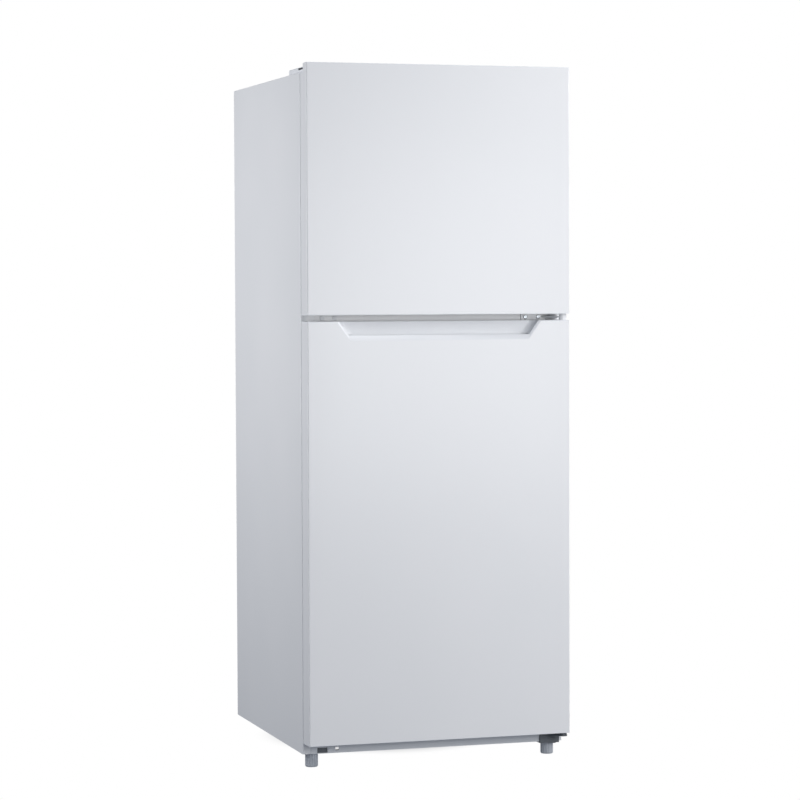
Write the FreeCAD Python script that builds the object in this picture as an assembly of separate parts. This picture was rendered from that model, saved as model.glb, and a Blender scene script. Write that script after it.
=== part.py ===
"""Top freezer refrigerator, about 285 litres, with reversible doors hung on the right.

Millimetres. X runs to the right as a person faces the doors, Y runs from the doors to
the wall behind, Z runs up. The origin is on the floor, under the middle of the outline.
"""

import FreeCAD
import Part

import math
import os

V = FreeCAD.Vector
X_AXIS = V(1, 0, 0)
Y_AXIS = V(0, 1, 0)
Z_AXIS = V(0, 0, 1)

# ---------------------------------------------------------------- driving dimensions
WIDTH = 595.0  # cabinet and doors, side to side
HEIGHT = 1516.0  # floor to the top of the freezer door
DEPTH = 662.0  # door face to the wall stand-offs
FOOT_HEIGHT = 31.0  # floor to the underside of the cabinet
DOOR_RISE = 18.0  # freezer door top above the cabinet top
DOOR_DROP = 25.0  # cabinet underside to the bottom of the lower door
FREEZER_DOOR_HEIGHT = 537.0
DOOR_SPLIT = 14.0  # clear height between the two doors

SHEET = 0.8  # painted and galvanised steel
LINER = 1.6  # vacuum formed plastic
BEND = 3.0  # outside radius of the folded case
STAND_OFF = 20.0  # wall stand-offs behind the rear panel
FACE_FLANGE = 30.0  # folded front edge of the case
REAR_FLANGE = 12.0

FRIDGE_WALL = 45.0  # insulated wall, steel to liner face
FREEZER_WALL = 58.0
TOP_WALL = 60.0
BACK_WALL = 52.0
SEAL_OVERLAP = 30.0  # how far each door reaches over the edge of its opening

SKIN_WRAP = 47.0  # depth of a door's steel side
FASCIA_DEPTH = 26.0  # the raised front of the freezer door, front to back
DOOR_BODY = 50.0  # door face to the seat of the gasket
GASKET_DEPTH = 4.0
GASKET_INSET = 8.0  # door edge to the outer edge of the gasket
GASKET_WIDTH = 26.0
SEAL_CLEARANCE = 0.3
CAP = 2.2  # moulded end caps of the doors
DYKE_HEIGHT = 40.0  # raised border of a door's inner liner
DYKE_WIDTH = 24.0
DYKE_CLEARANCE = 24.0  # liner opening to the outside of that border
DOOR_CORNER = 3.0

HINGE_INSET = 12.0  # hinge axis from the side and from the face of a door
HINGE_PLATE = 3.0
PIN_RADIUS = 3.5
PIN_CLEARANCE = 0.08
COLLAR_RADIUS = 8.0
ARM_END = 9.0  # radius of a hinge arm's round end
PIN_REACH = 17.0  # pin length inside a door cap

GRIP_TOP = 232.0  # half width of the lower door's grip at the top edge
GRIP_BOTTOM = 203.0  # and at its lower edge
GRIP_HEIGHT = 41.0
GRIP_BEVEL = 11.2  # height of the chamfer along the lower edge
GRIP_SIDE_BEVEL = 6.0  # width of the chamfer at the two ends
GRIP_BEVEL_DEPTH = 3.0
GRIP_RECESS = 22.0  # how far the grip goes into the door
GRIP_LIP = 8.0  # lip in front of the finger groove
GRIP_GROOVE = 15.0  # depth of the finger groove below the lip edge
GRIP_WALL = 2.0
GRIP_CHEEK = 2.0  # how far the well stays inside the front flange at its top

MACHINE_DEPTH = 215.0  # compressor bay, front to back
MACHINE_HEIGHT = 221.0
STEP_WALL = 46.0

FOOT_RADIUS = 14.0
FOOT_STUD = 4.0  # radius of the threaded stud
FOOT_CLEARANCE = 0.4  # foot to the plate above it
FOOT_INSET = 26.0  # foot axis from the side
FOOT_SETBACK = 24.4  # foot axis behind the front of the cabinet
ROLLER_RADIUS = 15.0
ROLLER_WIDTH = 18.0
ROLLER_AXLE = 3.0
ROLLER_INSET = 62.0
ROLLER_SETBACK = 44.0

SHELF_GLASS = 4.0
SHELF_TRIM = 14.0  # height of the front trim
CRISPER_WALL = 2.5
CRISPER_CLEARANCE = 3.0  # drawer to the centre guide
CRISPER_SIDE = 8.0  # drawer to the liner wall, clear of the opened door's seal
BIN_WALL = 2.5
BIN_DEPTH = 74.0

# ---------------------------------------------------------------- places worked out
SIDE = WIDTH / 2
FACE = -DEPTH / 2
CAB_REAR = DEPTH / 2 - STAND_OFF
CAB_FRONT = FACE + DOOR_BODY + GASKET_DEPTH
CAB_BOTTOM = FOOT_HEIGHT
CAB_TOP = HEIGHT - DOOR_RISE
SEAT = FACE + DOOR_BODY  # plane that carries the gaskets
RIM = FACE + SKIN_WRAP  # back edge of a door's steel side

FRIDGE_DOOR_BOTTOM = CAB_BOTTOM + DOOR_DROP
FREEZER_DOOR_BOTTOM = HEIGHT - FREEZER_DOOR_HEIGHT
FRIDGE_DOOR_TOP = FREEZER_DOOR_BOTTOM - DOOR_SPLIT
SPLIT_MIDDLE = (FREEZER_DOOR_BOTTOM + FRIDGE_DOOR_TOP) / 2

FRIDGE_X = SIDE - FRIDGE_WALL  # half width inside the fresh food liner
FREEZER_X = SIDE - FREEZER_WALL
FRIDGE_FLOOR = FRIDGE_DOOR_BOTTOM + SEAL_OVERLAP
FRIDGE_CEILING = FRIDGE_DOOR_TOP - SEAL_OVERLAP
FREEZER_FLOOR = FREEZER_DOOR_BOTTOM + SEAL_OVERLAP
FREEZER_CEILING = CAB_TOP - TOP_WALL
ROOM_BACK = CAB_REAR - BACK_WALL

BAY_FRONT = CAB_REAR - MACHINE_DEPTH
BAY_TOP = CAB_BOTTOM + MACHINE_HEIGHT
STEP_TOP = BAY_TOP + STEP_WALL
STEP_FRONT = BAY_FRONT - STEP_WALL

FOAM_BOTTOM = CAB_BOTTOM + 15.0
FLANGE_BACK = CAB_FRONT + SHEET + LINER  # back of the liners' front flanges
PANEL_FRONT = CAB_REAR - 2 * SHEET  # inner face of the rear panel

HINGE_X = SIDE - HINGE_INSET
HINGE_Y = FACE + HINGE_INSET

DUCT_HALF = 62.0  # air passage through the middle wall
DUCT_FRONT = ROOM_BACK - 52.0
DUCT_BACK = ROOM_BACK - 10.0

DRAIN_X = -SIDE + 90.0  # defrost drain from the freezer down to the compressor bay
DRAIN_Y = ROOM_BACK + 20.0
DRAIN_RADIUS = 8.0

CRISPER_TOP = STEP_TOP  # top of the pane over the two drawers
CRISPER_GLASS_DROP = SHELF_GLASS


# ---------------------------------------------------------------- small tools
def box(x0, x1, y0, y1, z0, z1):
    """A block between two corners."""
    return Part.makeBox(x1 - x0, y1 - y0, z1 - z0, V(x0, y0, z0))


def rod(radius, start, end):
    """A round bar from one point to another."""
    start, end = V(*start), V(*end)
    way = end - start
    return Part.makeCylinder(radius, way.Length, start, way)


def prism(points, way):
    """The outline through these points, swept by a vector."""
    loop = [V(*p) for p in points]
    return Part.Face(Part.makePolygon(loop + [loop[0]])).extrude(V(*way))


def join(*shapes):
    """One solid made of several that touch or overlap."""
    return shapes[0].fuse(list(shapes[1:])).removeSplitter() if len(shapes) > 1 else shapes[0]


def group(shapes):
    """Separate solids kept in one node."""
    return Part.makeCompound(list(shapes))


def mirrored(shape):
    """The same shape on the other side of the cabinet."""
    return shape.mirror(V(0, 0, 0), X_AXIS)


def edges_along(shape, way, keep=lambda middle: True):
    """Straight edges parallel to a direction whose middle passes a test."""
    found = []
    for edge in shape.Edges:
        if not isinstance(edge.Curve, Part.Line):
            continue
        first, last = edge.Vertexes[0].Point, edge.Vertexes[-1].Point
        along = last - first
        if along.Length > 0 and abs(along.dot(way)) > 0.999 * along.Length and keep((first + last) / 2):
            found.append(edge)
    return found


def rounded_box(x0, x1, y0, y1, z0, z1, radius, way=Z_AXIS):
    """A block with the four edges along one direction rounded."""
    block = box(x0, x1, y0, y1, z0, z1)
    return block.makeFillet(radius, edges_along(block, way))


def tray(x0, x1, y0, y1, z0, z1, wall, radius):
    """An open-topped tub with rounded upright corners."""
    outer = rounded_box(x0, x1, y0, y1, z0, z1, radius)
    inner = rounded_box(x0 + wall, x1 - wall, y0 + wall, y1 - wall, z0 + wall, z1 + 1, radius - wall)
    return outer.cut(inner)


def path(points, bend):
    """Straight runs joined by tangent arcs of one radius."""
    pts = [V(*p) for p in points]
    edges = []
    start = pts[0]
    for before, corner, after in zip(pts, pts[1:], pts[2:]):
        come, leave = (corner - before).normalize(), (after - corner).normalize()
        turn = come.getAngle(leave)
        back = bend * math.tan(turn / 2)
        first, last = corner - come * back, corner + leave * back
        inward = (leave - come).normalize()
        middle = corner + inward * (bend / math.cos(turn / 2) - bend)
        edges.append(Part.LineSegment(start, first).toShape())
        edges.append(Part.Arc(first, middle, last).toShape())
        start = last
    edges.append(Part.LineSegment(start, pts[-1]).toShape())
    return Part.Wire(edges)


def tube(points, radius, bend):
    """A round tube bent along runs and arcs."""
    spine = path(points, bend)
    first = V(*points[1]) - V(*points[0])
    ring = Part.Wire(Part.makeCircle(radius, V(*points[0]), first))
    return spine.makePipeShell([ring], True, True)


def serpentine(passes, pitch, low, high, place):
    """Points of a coil that runs up and down; place(across, along) gives each point."""
    points = []
    for i in range(passes):
        ends = (low, high) if i % 2 == 0 else (high, low)
        points += [place(i * pitch, ends[0]), place(i * pitch, ends[1])]
    return points


# ---------------------------------------------------------------- screws
SCREW_SHANK = 2.1
SCREW_HEAD = 4.6
SCREW_HEAD_HEIGHT = 2.6
SCREW_LENGTH = 14.0
SCREW_HOLE = 2.2
MID_SCREW_INSETS = (84.5, 55.0)  # middle hinge screws from the side
PLUG_INSETS = (47.5, 76.0)  # plugged holes for the other hand, from the other side


def screw(x, y, z, way):
    """A pan head screw whose head stands out along a direction, with a cross recess."""
    out = V(*way)
    seat = V(x, y, z)
    head = Part.makeCylinder(SCREW_HEAD, SCREW_HEAD_HEIGHT, seat, out)
    rim = [e for e in head.Edges if (e.CenterOfMass - seat).dot(out) > SCREW_HEAD_HEIGHT - 0.1]
    head = head.makeFillet(1.2, rim)
    shank = Part.makeCylinder(SCREW_SHANK, SCREW_LENGTH, seat - out * SCREW_LENGTH, out)
    across = Y_AXIS if abs(out.z) > 0.5 else Z_AXIS
    other = out.cross(across)
    slots = []
    for along, side in ((across, other), (other, across)):
        corner = seat + out * (SCREW_HEAD_HEIGHT - 1.2) - along * 2.6 - side * 0.5
        points = [corner, corner + along * 5.2, corner + along * 5.2 + side, corner + side]
        slots.append(prism([tuple(p) for p in points], tuple(out * 2)))
    return head.fuse(shank).cut(slots)


def screw_hole(x, y, z, way, depth=SCREW_LENGTH + 1.0):
    """The clearance hole that a screw needs below its head."""
    out = V(*way)
    return Part.makeCylinder(SCREW_HOLE, depth, V(x, y, z) - out * depth, out)


MID_SCREWS = [(SIDE - inset, CAB_FRONT - HINGE_PLATE, SPLIT_MIDDLE) for inset in MID_SCREW_INSETS]
TOP_SCREWS = [
    (HINGE_X - 62.0, CAB_FRONT + 34.0, CAB_TOP + HINGE_PLATE),
    (HINGE_X - 62.0, CAB_FRONT + 74.0, CAB_TOP + HINGE_PLATE),
    (HINGE_X - 24.0, CAB_FRONT + 54.0, CAB_TOP + HINGE_PLATE),
]
LOW_SCREWS = [
    (SIDE - 46.5, CAB_FRONT + 31.0, CAB_BOTTOM - HINGE_PLATE),
    (SIDE - 16.5, CAB_FRONT + 4.5, CAB_BOTTOM - HINGE_PLATE),
]
FRONT = (0, -1, 0)
UP = (0, 0, 1)
DOWN = (0, 0, -1)
PLUG_X = [inset - SIDE for inset in PLUG_INSETS]


def hinge_holes():
    """Every clearance hole of the hinge screws."""
    depth = SCREW_LENGTH + 4.0
    holes = [screw_hole(*p, FRONT, depth) for p in MID_SCREWS]
    holes += [screw_hole(*p, UP, depth) for p in TOP_SCREWS]
    return holes + [screw_hole(*p, DOWN, depth) for p in LOW_SCREWS]


# ---------------------------------------------------------------- cabinet body
RAIL_DEPTH = 36.0
RAIL_TOP = FRIDGE_DOOR_BOTTOM + 4.0
RAIL_END = 16.7  # bare case corner beside the rail
SPARE_SLOTS = ((32.0, 55.0, 1.5), (72.5, 80.5, 5.5))  # two ends from the side, then the height
SPARE_TAB = (57.0, 72.0)  # pressed tab between the two slots, from the side
SPARE_SLOT_TOP = CAB_BOTTOM + 12.7
SPARE_TAB_LOW = CAB_BOTTOM + 7.0


def case_form(inset, radius):
    """The block of the case, shrunk by an inset, with its folded edges rounded."""
    low = CAB_BOTTOM - (10.0 if inset else 0.0)
    form = box(-SIDE + inset, SIDE - inset, CAB_FRONT + inset, CAB_REAR - inset, low, CAB_TOP - inset)
    top = edges_along(form, Y_AXIS, lambda m: m.z > CAB_TOP - 5)
    front = edges_along(form, Z_AXIS, lambda m: m.y < CAB_FRONT + 5)
    brow = edges_along(form, X_AXIS, lambda m: m.y < CAB_FRONT + 5 and m.z > CAB_TOP - 5)
    return form.makeFillet(radius, top + front + brow)


def outer_case():
    """One folded sheet: both sides and the top, with front and rear flanges."""
    skin = case_form(0.0, BEND).cut(case_form(SHEET, BEND - SHEET))
    reach = SIDE - FACE_FLANGE
    window = box(-reach, reach, CAB_FRONT - 1, CAB_FRONT + 5, 0, CAB_TOP - FACE_FLANGE)
    reach = SIDE - REAR_FLANGE
    back = box(-reach, reach, CAB_REAR - 5, CAB_REAR + 1, 0, CAB_TOP - REAR_FLANGE)
    return skin.cut([window, back] + hinge_holes())


def rear_panel():
    """Galvanised back sheet with pressed stiffening ribs, held behind the rear flanges."""
    reach = SIDE - SHEET - 0.4
    low, high = BAY_TOP + SHEET + 0.4, CAB_TOP - SHEET - 0.4
    sheet = box(-reach, reach, PANEL_FRONT, PANEL_FRONT + SHEET, low, high)
    ribs, hollows = [], []
    rib_half, rise = 14.0, 4.0
    back = PANEL_FRONT + rise
    for x in (-reach * 0.55, 0.0, reach * 0.55):
        bottom, top = low + 60.0, high - 60.0
        ribs.append(rounded_box(x - rib_half, x + rib_half, PANEL_FRONT, back, bottom, top, 10.0, Y_AXIS))
        inner = rib_half - SHEET
        hollows.append(
            rounded_box(
                x - inner, x + inner, PANEL_FRONT - 1, PANEL_FRONT + rise - SHEET,
                bottom + SHEET, top - SHEET, 9.0, Y_AXIS,
            )
        )
    return sheet.fuse(ribs).cut(hollows)


def wall_stand_offs():
    """Two moulded buffers that keep the back clear of the wall."""
    made = []
    for side in (-1, 1):
        x = side * (SIDE - 90.0)
        z = CAB_TOP - 110.0
        seat = PANEL_FRONT + SHEET
        base = rounded_box(x - 22, x + 22, seat, seat + 4, z - 30, z + 30, 6, Y_AXIS)
        nose = rod(14.0, (x, seat, z), (x, DEPTH / 2, z))
        made.append(join(base, nose))
    return group(made)


def bottom_panel():
    """Sheet under the insulation: flat floor, riser and roof of the compressor bay."""
    reach = SIDE - SHEET
    front = CAB_FRONT + RAIL_DEPTH
    z = FOAM_BOTTOM
    outline = [
        (-reach, front, z - SHEET), (-reach, BAY_FRONT, z - SHEET), (-reach, BAY_FRONT, BAY_TOP - SHEET),
        (-reach, PANEL_FRONT + SHEET, BAY_TOP - SHEET), (-reach, PANEL_FRONT + SHEET, BAY_TOP),
        (-reach, BAY_FRONT - SHEET, BAY_TOP), (-reach, BAY_FRONT - SHEET, z), (-reach, front, z),
    ]
    return prism(outline, (2 * reach, 0, 0)).cut(drain_cut(DRAIN_RADIUS))


def compartment(half, back, floor, ceiling, wall):
    """The tub of a liner, grown by a wall, open to the front, with rounded long edges."""
    block = box(-half - wall, half + wall, CAB_FRONT - 5, back + wall, floor - wall, ceiling + wall)
    return block.makeFillet(12.0 + wall, edges_along(block, Y_AXIS))


def fridge_room(wall):
    """Fresh food space with the step over the compressor bay."""
    room = compartment(FRIDGE_X, ROOM_BACK, FRIDGE_FLOOR, FRIDGE_CEILING, wall)
    reach = FRIDGE_X + wall + 1
    step = box(-reach, reach, STEP_FRONT + wall, ROOM_BACK + 20, FRIDGE_FLOOR - wall - 1, STEP_TOP - wall)
    return room.cut(step)


def freezer_room(wall):
    """Freezer space."""
    return compartment(FREEZER_X, ROOM_BACK, FREEZER_FLOOR, FREEZER_CEILING, wall)


def duct_cut():
    """Air passage through the middle wall."""
    return box(-DUCT_HALF, DUCT_HALF, DUCT_FRONT, DUCT_BACK, FRIDGE_CEILING - 6, FREEZER_FLOOR + 6)


def drain_cut(radius):
    """Defrost water passage from the freezer floor down to the compressor bay."""
    return rod(radius, (DRAIN_X, DRAIN_Y, BAY_TOP - 5), (DRAIN_X, DRAIN_Y, FREEZER_FLOOR + 5))


SHELF_LEDGE = 8.0
SHELF_FRONT = CAB_FRONT + 110.0
SHELF_BACK = ROOM_BACK - 34.0
SHELF_LEVELS = [
    STEP_TOP + (FRIDGE_CEILING - STEP_TOP) * share for share in (0.33, 0.64)
]
FREEZER_SHELF_Z = FREEZER_FLOOR + (FREEZER_CEILING - FREEZER_FLOOR) * 0.48
FREEZER_COVER_Y = ROOM_BACK - 82.0  # front face of the freezer's air cover


def ledges(half, levels, front, back):
    """Moulded ribs on both side walls that carry the shelves."""
    made = []
    for z in levels:
        rib = box(half - SHELF_LEDGE, half + 0.4, front, back, z - 6.0, z)
        rib = rib.makeFillet(2.0, edges_along(rib, Y_AXIS, lambda m: m.x < half - 1))
        made += [rib, mirrored(rib)]
    return made


def liner_flange(low, high):
    """Front face of a liner, from its opening out to behind the case flange."""
    reach = SIDE - SHEET - 4.0
    return box(-reach, reach, CAB_FRONT + SHEET, FLANGE_BACK, low, high)


def fridge_liner():
    """Vacuum formed tub of the fresh food space."""
    flange = liner_flange(FRIDGE_DOOR_BOTTOM + 6.0, SPLIT_MIDDLE - 0.2)
    shell = fridge_room(LINER).fuse(flange).cut(fridge_room(0.0))
    shell = shell.cut(box(-SIDE, SIDE, CAB_FRONT - 10, CAB_FRONT + SHEET, 0, HEIGHT))
    ribs = ledges(FRIDGE_X, SHELF_LEVELS, SHELF_FRONT + 10, SHELF_BACK + 20)
    ribs += ledges(FRIDGE_X, [CRISPER_TOP - CRISPER_GLASS_DROP], SHELF_FRONT + 10, STEP_FRONT)
    return shell.fuse(ribs).cut([duct_cut(), drain_cut(DRAIN_RADIUS)] + hinge_holes())


def freezer_liner():
    """Vacuum formed tub of the freezer."""
    flange = liner_flange(SPLIT_MIDDLE + 0.2, CAB_TOP - SHEET - 4.0)
    shell = freezer_room(LINER).fuse(flange).cut(freezer_room(0.0))
    shell = shell.cut(box(-SIDE, SIDE, CAB_FRONT - 10, CAB_FRONT + SHEET, 0, HEIGHT))
    ribs = ledges(FREEZER_X, [FREEZER_SHELF_Z], SHELF_FRONT + 10, FREEZER_COVER_Y - 20)
    return shell.fuse(ribs).cut([duct_cut()] + hinge_holes())


COIL_POCKET = 6.0
COIL_RADIUS = 2.4
COIL_PASSES = 6
COIL_LOW = STEP_TOP + 60.0
COIL_HIGH = CAB_TOP - 120.0
COIL_FRONT = CAB_FRONT + 70.0
COIL_BACK = CAB_REAR - 60.0
COIL_PITCH = (COIL_BACK - COIL_FRONT) / (COIL_PASSES - 1)


def coil_pocket():
    """Room for the condenser tube between the insulation and the case side."""
    outer = SIDE - SHEET
    margin = 12.0
    front, back = COIL_FRONT - margin, COIL_BACK + margin
    return box(outer - COIL_POCKET, outer + 1, front, back, COIL_LOW - margin, COIL_HIGH + margin)


def condenser_coils():
    """Warm side wall condenser: a flat coil of steel tube behind each side."""
    x = SIDE - SHEET - COIL_RADIUS - 0.2
    points = serpentine(COIL_PASSES, COIL_PITCH, COIL_LOW, COIL_HIGH, lambda a, b: (x, COIL_FRONT + a, b))
    coil = tube(points, COIL_RADIUS, COIL_PITCH * 0.45)
    return group([coil, mirrored(coil)])


def cabinet_foam():
    """Foamed-in-place insulation around both rooms."""
    reach = SIDE - SHEET
    block = box(-reach, reach, FLANGE_BACK, PANEL_FRONT, FOAM_BOTTOM, CAB_TOP - SHEET)
    top = edges_along(block, Y_AXIS, lambda m: m.z > CAB_TOP - 5)
    front = edges_along(block, Z_AXIS, lambda m: m.y < FLANGE_BACK + 1)
    brow = edges_along(block, X_AXIS, lambda m: m.y < FLANGE_BACK + 1 and m.z > CAB_TOP - 5)
    block = block.makeFillet(BEND, top + front + brow)
    bay = box(-SIDE, SIDE, BAY_FRONT - SHEET, CAB_REAR + 5, 0, BAY_TOP)
    pocket = coil_pocket()
    cuts = [fridge_room(LINER), freezer_room(LINER), bay, duct_cut(), pocket, mirrored(pocket)]
    cuts += [drain_cut(DRAIN_RADIUS), base_rail_space()] + hinge_holes()
    cuts += [rod(6.0, (x, CAB_FRONT - 1, SPLIT_MIDDLE), (x, CAB_FRONT + 16, SPLIT_MIDDLE)) for x in PLUG_X]
    return block.cut(cuts)


STRIP_HALF = 20.0


def middle_strip():
    """Painted steel strip across the middle wall, between the two door seals."""
    reach = SIDE - FACE_FLANGE - 0.3
    low, high = SPLIT_MIDDLE - STRIP_HALF, SPLIT_MIDDLE + STRIP_HALF
    plate = box(-reach, reach, CAB_FRONT, CAB_FRONT + SHEET, low, high)
    holes = [rod(3.6, (x, CAB_FRONT - 1, SPLIT_MIDDLE), (x, CAB_FRONT + 10, SPLIT_MIDDLE)) for x in PLUG_X]
    return plate.cut(holes + hinge_holes())


def hole_plugs():
    """Push-in plugs that close the hinge holes on the unused side."""
    made = []
    for x in PLUG_X:
        cap = rod(5.5, (x, CAB_FRONT - 1.6, SPLIT_MIDDLE), (x, CAB_FRONT, SPLIT_MIDDLE))
        rim = [e for e in cap.Edges if e.CenterOfMass.y < CAB_FRONT - 1.5]
        stem = rod(3.5, (x, CAB_FRONT - 0.5, SPLIT_MIDDLE), (x, CAB_FRONT + SHEET, SPLIT_MIDDLE))
        made.append(cap.makeFillet(1.0, rim).fuse(stem))
    return group(made)


# ---------------------------------------------------------------- base
def base_rail_space():
    """Block of the insulation that the front rail takes."""
    return box(-SIDE, SIDE, CAB_FRONT - 1, CAB_FRONT + RAIL_DEPTH, 0, RAIL_TOP)


def foot_place(side):
    """Axis of a front foot."""
    return side * (SIDE - FOOT_INSET), CAB_FRONT + FOOT_SETBACK


def front_rail():
    """Folded steel channel across the front of the base."""
    left, right = -SIDE + RAIL_END, SIDE - SHEET - 0.3
    back = CAB_FRONT + RAIL_DEPTH - 1.0
    thick = 1.2
    front = box(left, right, CAB_FRONT - thick, CAB_FRONT, CAB_BOTTOM, RAIL_TOP)
    floor = box(left, right, CAB_FRONT - thick, back, CAB_BOTTOM, CAB_BOTTOM + thick)
    near, far = SPARE_TAB
    tab = box(near - SIDE, far - SIDE, CAB_FRONT - 2 * thick, CAB_FRONT, SPARE_TAB_LOW, SPARE_SLOT_TOP)
    rail = join(front, floor, tab)
    cuts = []
    for near, far, low in SPARE_SLOTS:
        z = CAB_BOTTOM + low
        cuts.append(box(near - SIDE, far - SIDE, CAB_FRONT - 3, CAB_FRONT + 0.1, z, SPARE_SLOT_TOP))
    for side in (-1, 1):
        x0, x1 = sorted((side * (SIDE - FACE_FLANGE - 0.5), side * SIDE))
        cuts.append(box(x0, x1, CAB_FRONT, CAB_FRONT + SHEET + 0.2, 0, HEIGHT))
        x, y = foot_place(side)
        cuts.append(rod(FOOT_STUD + 0.5, (x, y, CAB_BOTTOM - 1), (x, y, CAB_BOTTOM + 5)))
    return rail.cut(cuts + hinge_holes())


def foot_nut(side):
    """Dark steel bracket over a foot, with the threaded seat for its stud."""
    x, y = foot_place(side)
    low = CAB_BOTTOM + 1.2
    inner = side * (SIDE - 62.0)
    outer = side * (SIDE - SHEET - 1.5)
    x0, x1 = sorted((inner, outer))
    plate = box(x0, x1, CAB_FRONT + 1.5, CAB_FRONT + RAIL_DEPTH - 2, low, low + 3.0)
    wall = box(x0, x1, CAB_FRONT + 1.5, CAB_FRONT + 4.0, low, low + 13.0)
    seat = rod(9.0, (x, y, low), (x, y, low + 13.0))
    return join(plate, wall, seat).cut(rod(FOOT_STUD + 0.1, (x, y, low - 1), (x, y, low + 20.0)))


def foot_brackets():
    """The two brackets that the feet screw into."""
    return group([foot_nut(-1).cut(hinge_holes()), foot_nut(1).cut(hinge_holes())])


def foot(side):
    """Levelling foot: ribbed moulded head on a threaded steel stud."""
    x, y = foot_place(side)
    top = CAB_BOTTOM - FOOT_CLEARANCE - (HINGE_PLATE if side > 0 else 0.0)
    head = rod(FOOT_RADIUS, (x, y, 0), (x, y, top))
    lower = [e for e in head.Edges if e.CenterOfMass.z < 0.1]
    head = head.makeFillet(2.0, lower)
    stud = rod(FOOT_STUD, (x, y, top - 2.0), (x, y, CAB_BOTTOM + 13.0))
    return join(head, stud)


def roller_place(side):
    """Centre of a rear roller."""
    return side * (SIDE - ROLLER_INSET), CAB_REAR - ROLLER_SETBACK, ROLLER_RADIUS


TRAY_Z = CAB_BOTTOM + 3.0
TRAY_THICK = 1.5
GLAND = (-SIDE + 92.0, TRAY_Z + 12.0)
GLAND_BORE = 4.2
GLAND_LENGTH = 12.0


def base_tray():
    """Steel tray that carries the compressor, with the ears of the rear rollers."""
    reach = SIDE - SHEET - 0.3
    front = BAY_FRONT + 3.0
    back = CAB_REAR - SHEET - 0.3
    floor = box(-reach, reach, front, back, TRAY_Z, TRAY_Z + TRAY_THICK)
    rear_lip = box(-reach, reach, back - TRAY_THICK, back, TRAY_Z, TRAY_Z + 18.0)
    front_lip = box(-reach, reach, front, front + TRAY_THICK, TRAY_Z, TRAY_Z + 18.0)
    parts = [floor, rear_lip, front_lip]
    cuts = []
    for side in (-1, 1):
        x, y, z = roller_place(side)
        gap = ROLLER_WIDTH / 2 + 1.0
        for a in (-1, 1):
            x0, x1 = sorted((x + a * gap, x + a * (gap + 2.0)))
            parts.append(box(x0, x1, y - 9.0, y + 9.0, z - 6.0, TRAY_Z + 1.0))
        cuts.append(box(x - gap, x + gap, y - 19, y + 19, TRAY_Z - 1, TRAY_Z + 5))
        cuts.append(rod(ROLLER_AXLE + 0.05, (x - 20, y, z), (x + 20, y, z)))
    cuts += [rod(BOLT_RADIUS + 0.2, (x, y, 0), (x, y, 60)) for x, y in compressor_feet()]
    gland_x, gland_z = GLAND
    cuts.append(rod(5.0, (gland_x, back - 10, gland_z), (gland_x, back + 10, gland_z)))
    return join(*parts).cut(cuts)


def roller(side):
    """Rear roller turning with its axle pin."""
    x, y, z = roller_place(side)
    half = ROLLER_WIDTH / 2
    wheel = rod(ROLLER_RADIUS, (x - half, y, z), (x + half, y, z))
    wheel = wheel.makeFillet(1.5, wheel.Edges)
    axle = rod(ROLLER_AXLE, (x - half - 5, y, z), (x + half + 5, y, z))
    return join(wheel, axle)


# ---------------------------------------------------------------- compressor bay
PUMP_X = SIDE - 190.0
PUMP_Y = BAY_FRONT + 108.0
PUMP_RADIUS = 72.0
PUMP_LOW = TRAY_Z + TRAY_THICK + 14.0
PUMP_TALL = 148.0
SEAM_Z = PUMP_LOW + 84.0  # welded seam round the can
PUMP_WALL = 3.0
DOME_RADIUS = 34.0  # rounding of the can's top
BASE_RADIUS = 16.0  # and of its bottom
BOLT_RADIUS = 3.0
BOLT_SPREAD_X = 84.0
BOLT_SPREAD_Y = 62.0


def compressor_feet():
    """Places of the four compressor bolts."""
    return [(PUMP_X + a * BOLT_SPREAD_X, PUMP_Y + b * BOLT_SPREAD_Y) for a in (-1, 1) for b in (-1, 1)]


def can(shrink):
    """The welded can of the compressor, made smaller by a wall."""
    low, high = PUMP_LOW + shrink, PUMP_LOW + PUMP_TALL - shrink
    body = rod(PUMP_RADIUS - shrink, (PUMP_X, PUMP_Y, low), (PUMP_X, PUMP_Y, high))
    for z, radius in ((high, DOME_RADIUS), (low, BASE_RADIUS)):
        rings = [e for e in body.Edges if isinstance(e.Curve, Part.Circle)]
        body = body.makeFillet(radius - shrink, [e for e in rings if abs(e.CenterOfMass.z - z) < 0.1])
    return body


def compressor():
    """Hermetic compressor: hollow welded can on a foot plate, with the pump inside."""
    seam = rod(PUMP_RADIUS + 3.0, (PUMP_X, PUMP_Y, SEAM_Z), (PUMP_X, PUMP_Y, SEAM_Z + 5.0))
    reach_x, reach_y = BOLT_SPREAD_X + 12, BOLT_SPREAD_Y + 12
    left, right = PUMP_X - reach_x, PUMP_X + reach_x
    z = TRAY_Z + TRAY_THICK + 12.0
    plate = rounded_box(left, right, PUMP_Y - reach_y, PUMP_Y + reach_y, z, z + 3, 12)
    plate = plate.cut([rod(7.0, (x, y, z - 1), (x, y, z + 5)) for x, y in compressor_feet()])
    stubs = [rod(4.0, (x, y, z), (x - 24, y, z)) for x, y, z in stub_places()]
    shell = join(can(0.0), seam, plate, *stubs).cut(can(PUMP_WALL))
    pump = rod(44.0, (PUMP_X, PUMP_Y, PUMP_LOW + 30), (PUMP_X, PUMP_Y, PUMP_LOW + 112))
    return group([shell, pump])


def stub_places():
    """Roots of the suction and discharge stubs on the can."""
    x = PUMP_X - PUMP_RADIUS + 4
    return [(x, PUMP_Y - 18, PUMP_LOW + 96), (x, PUMP_Y + 18, PUMP_LOW + 60)]


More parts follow.
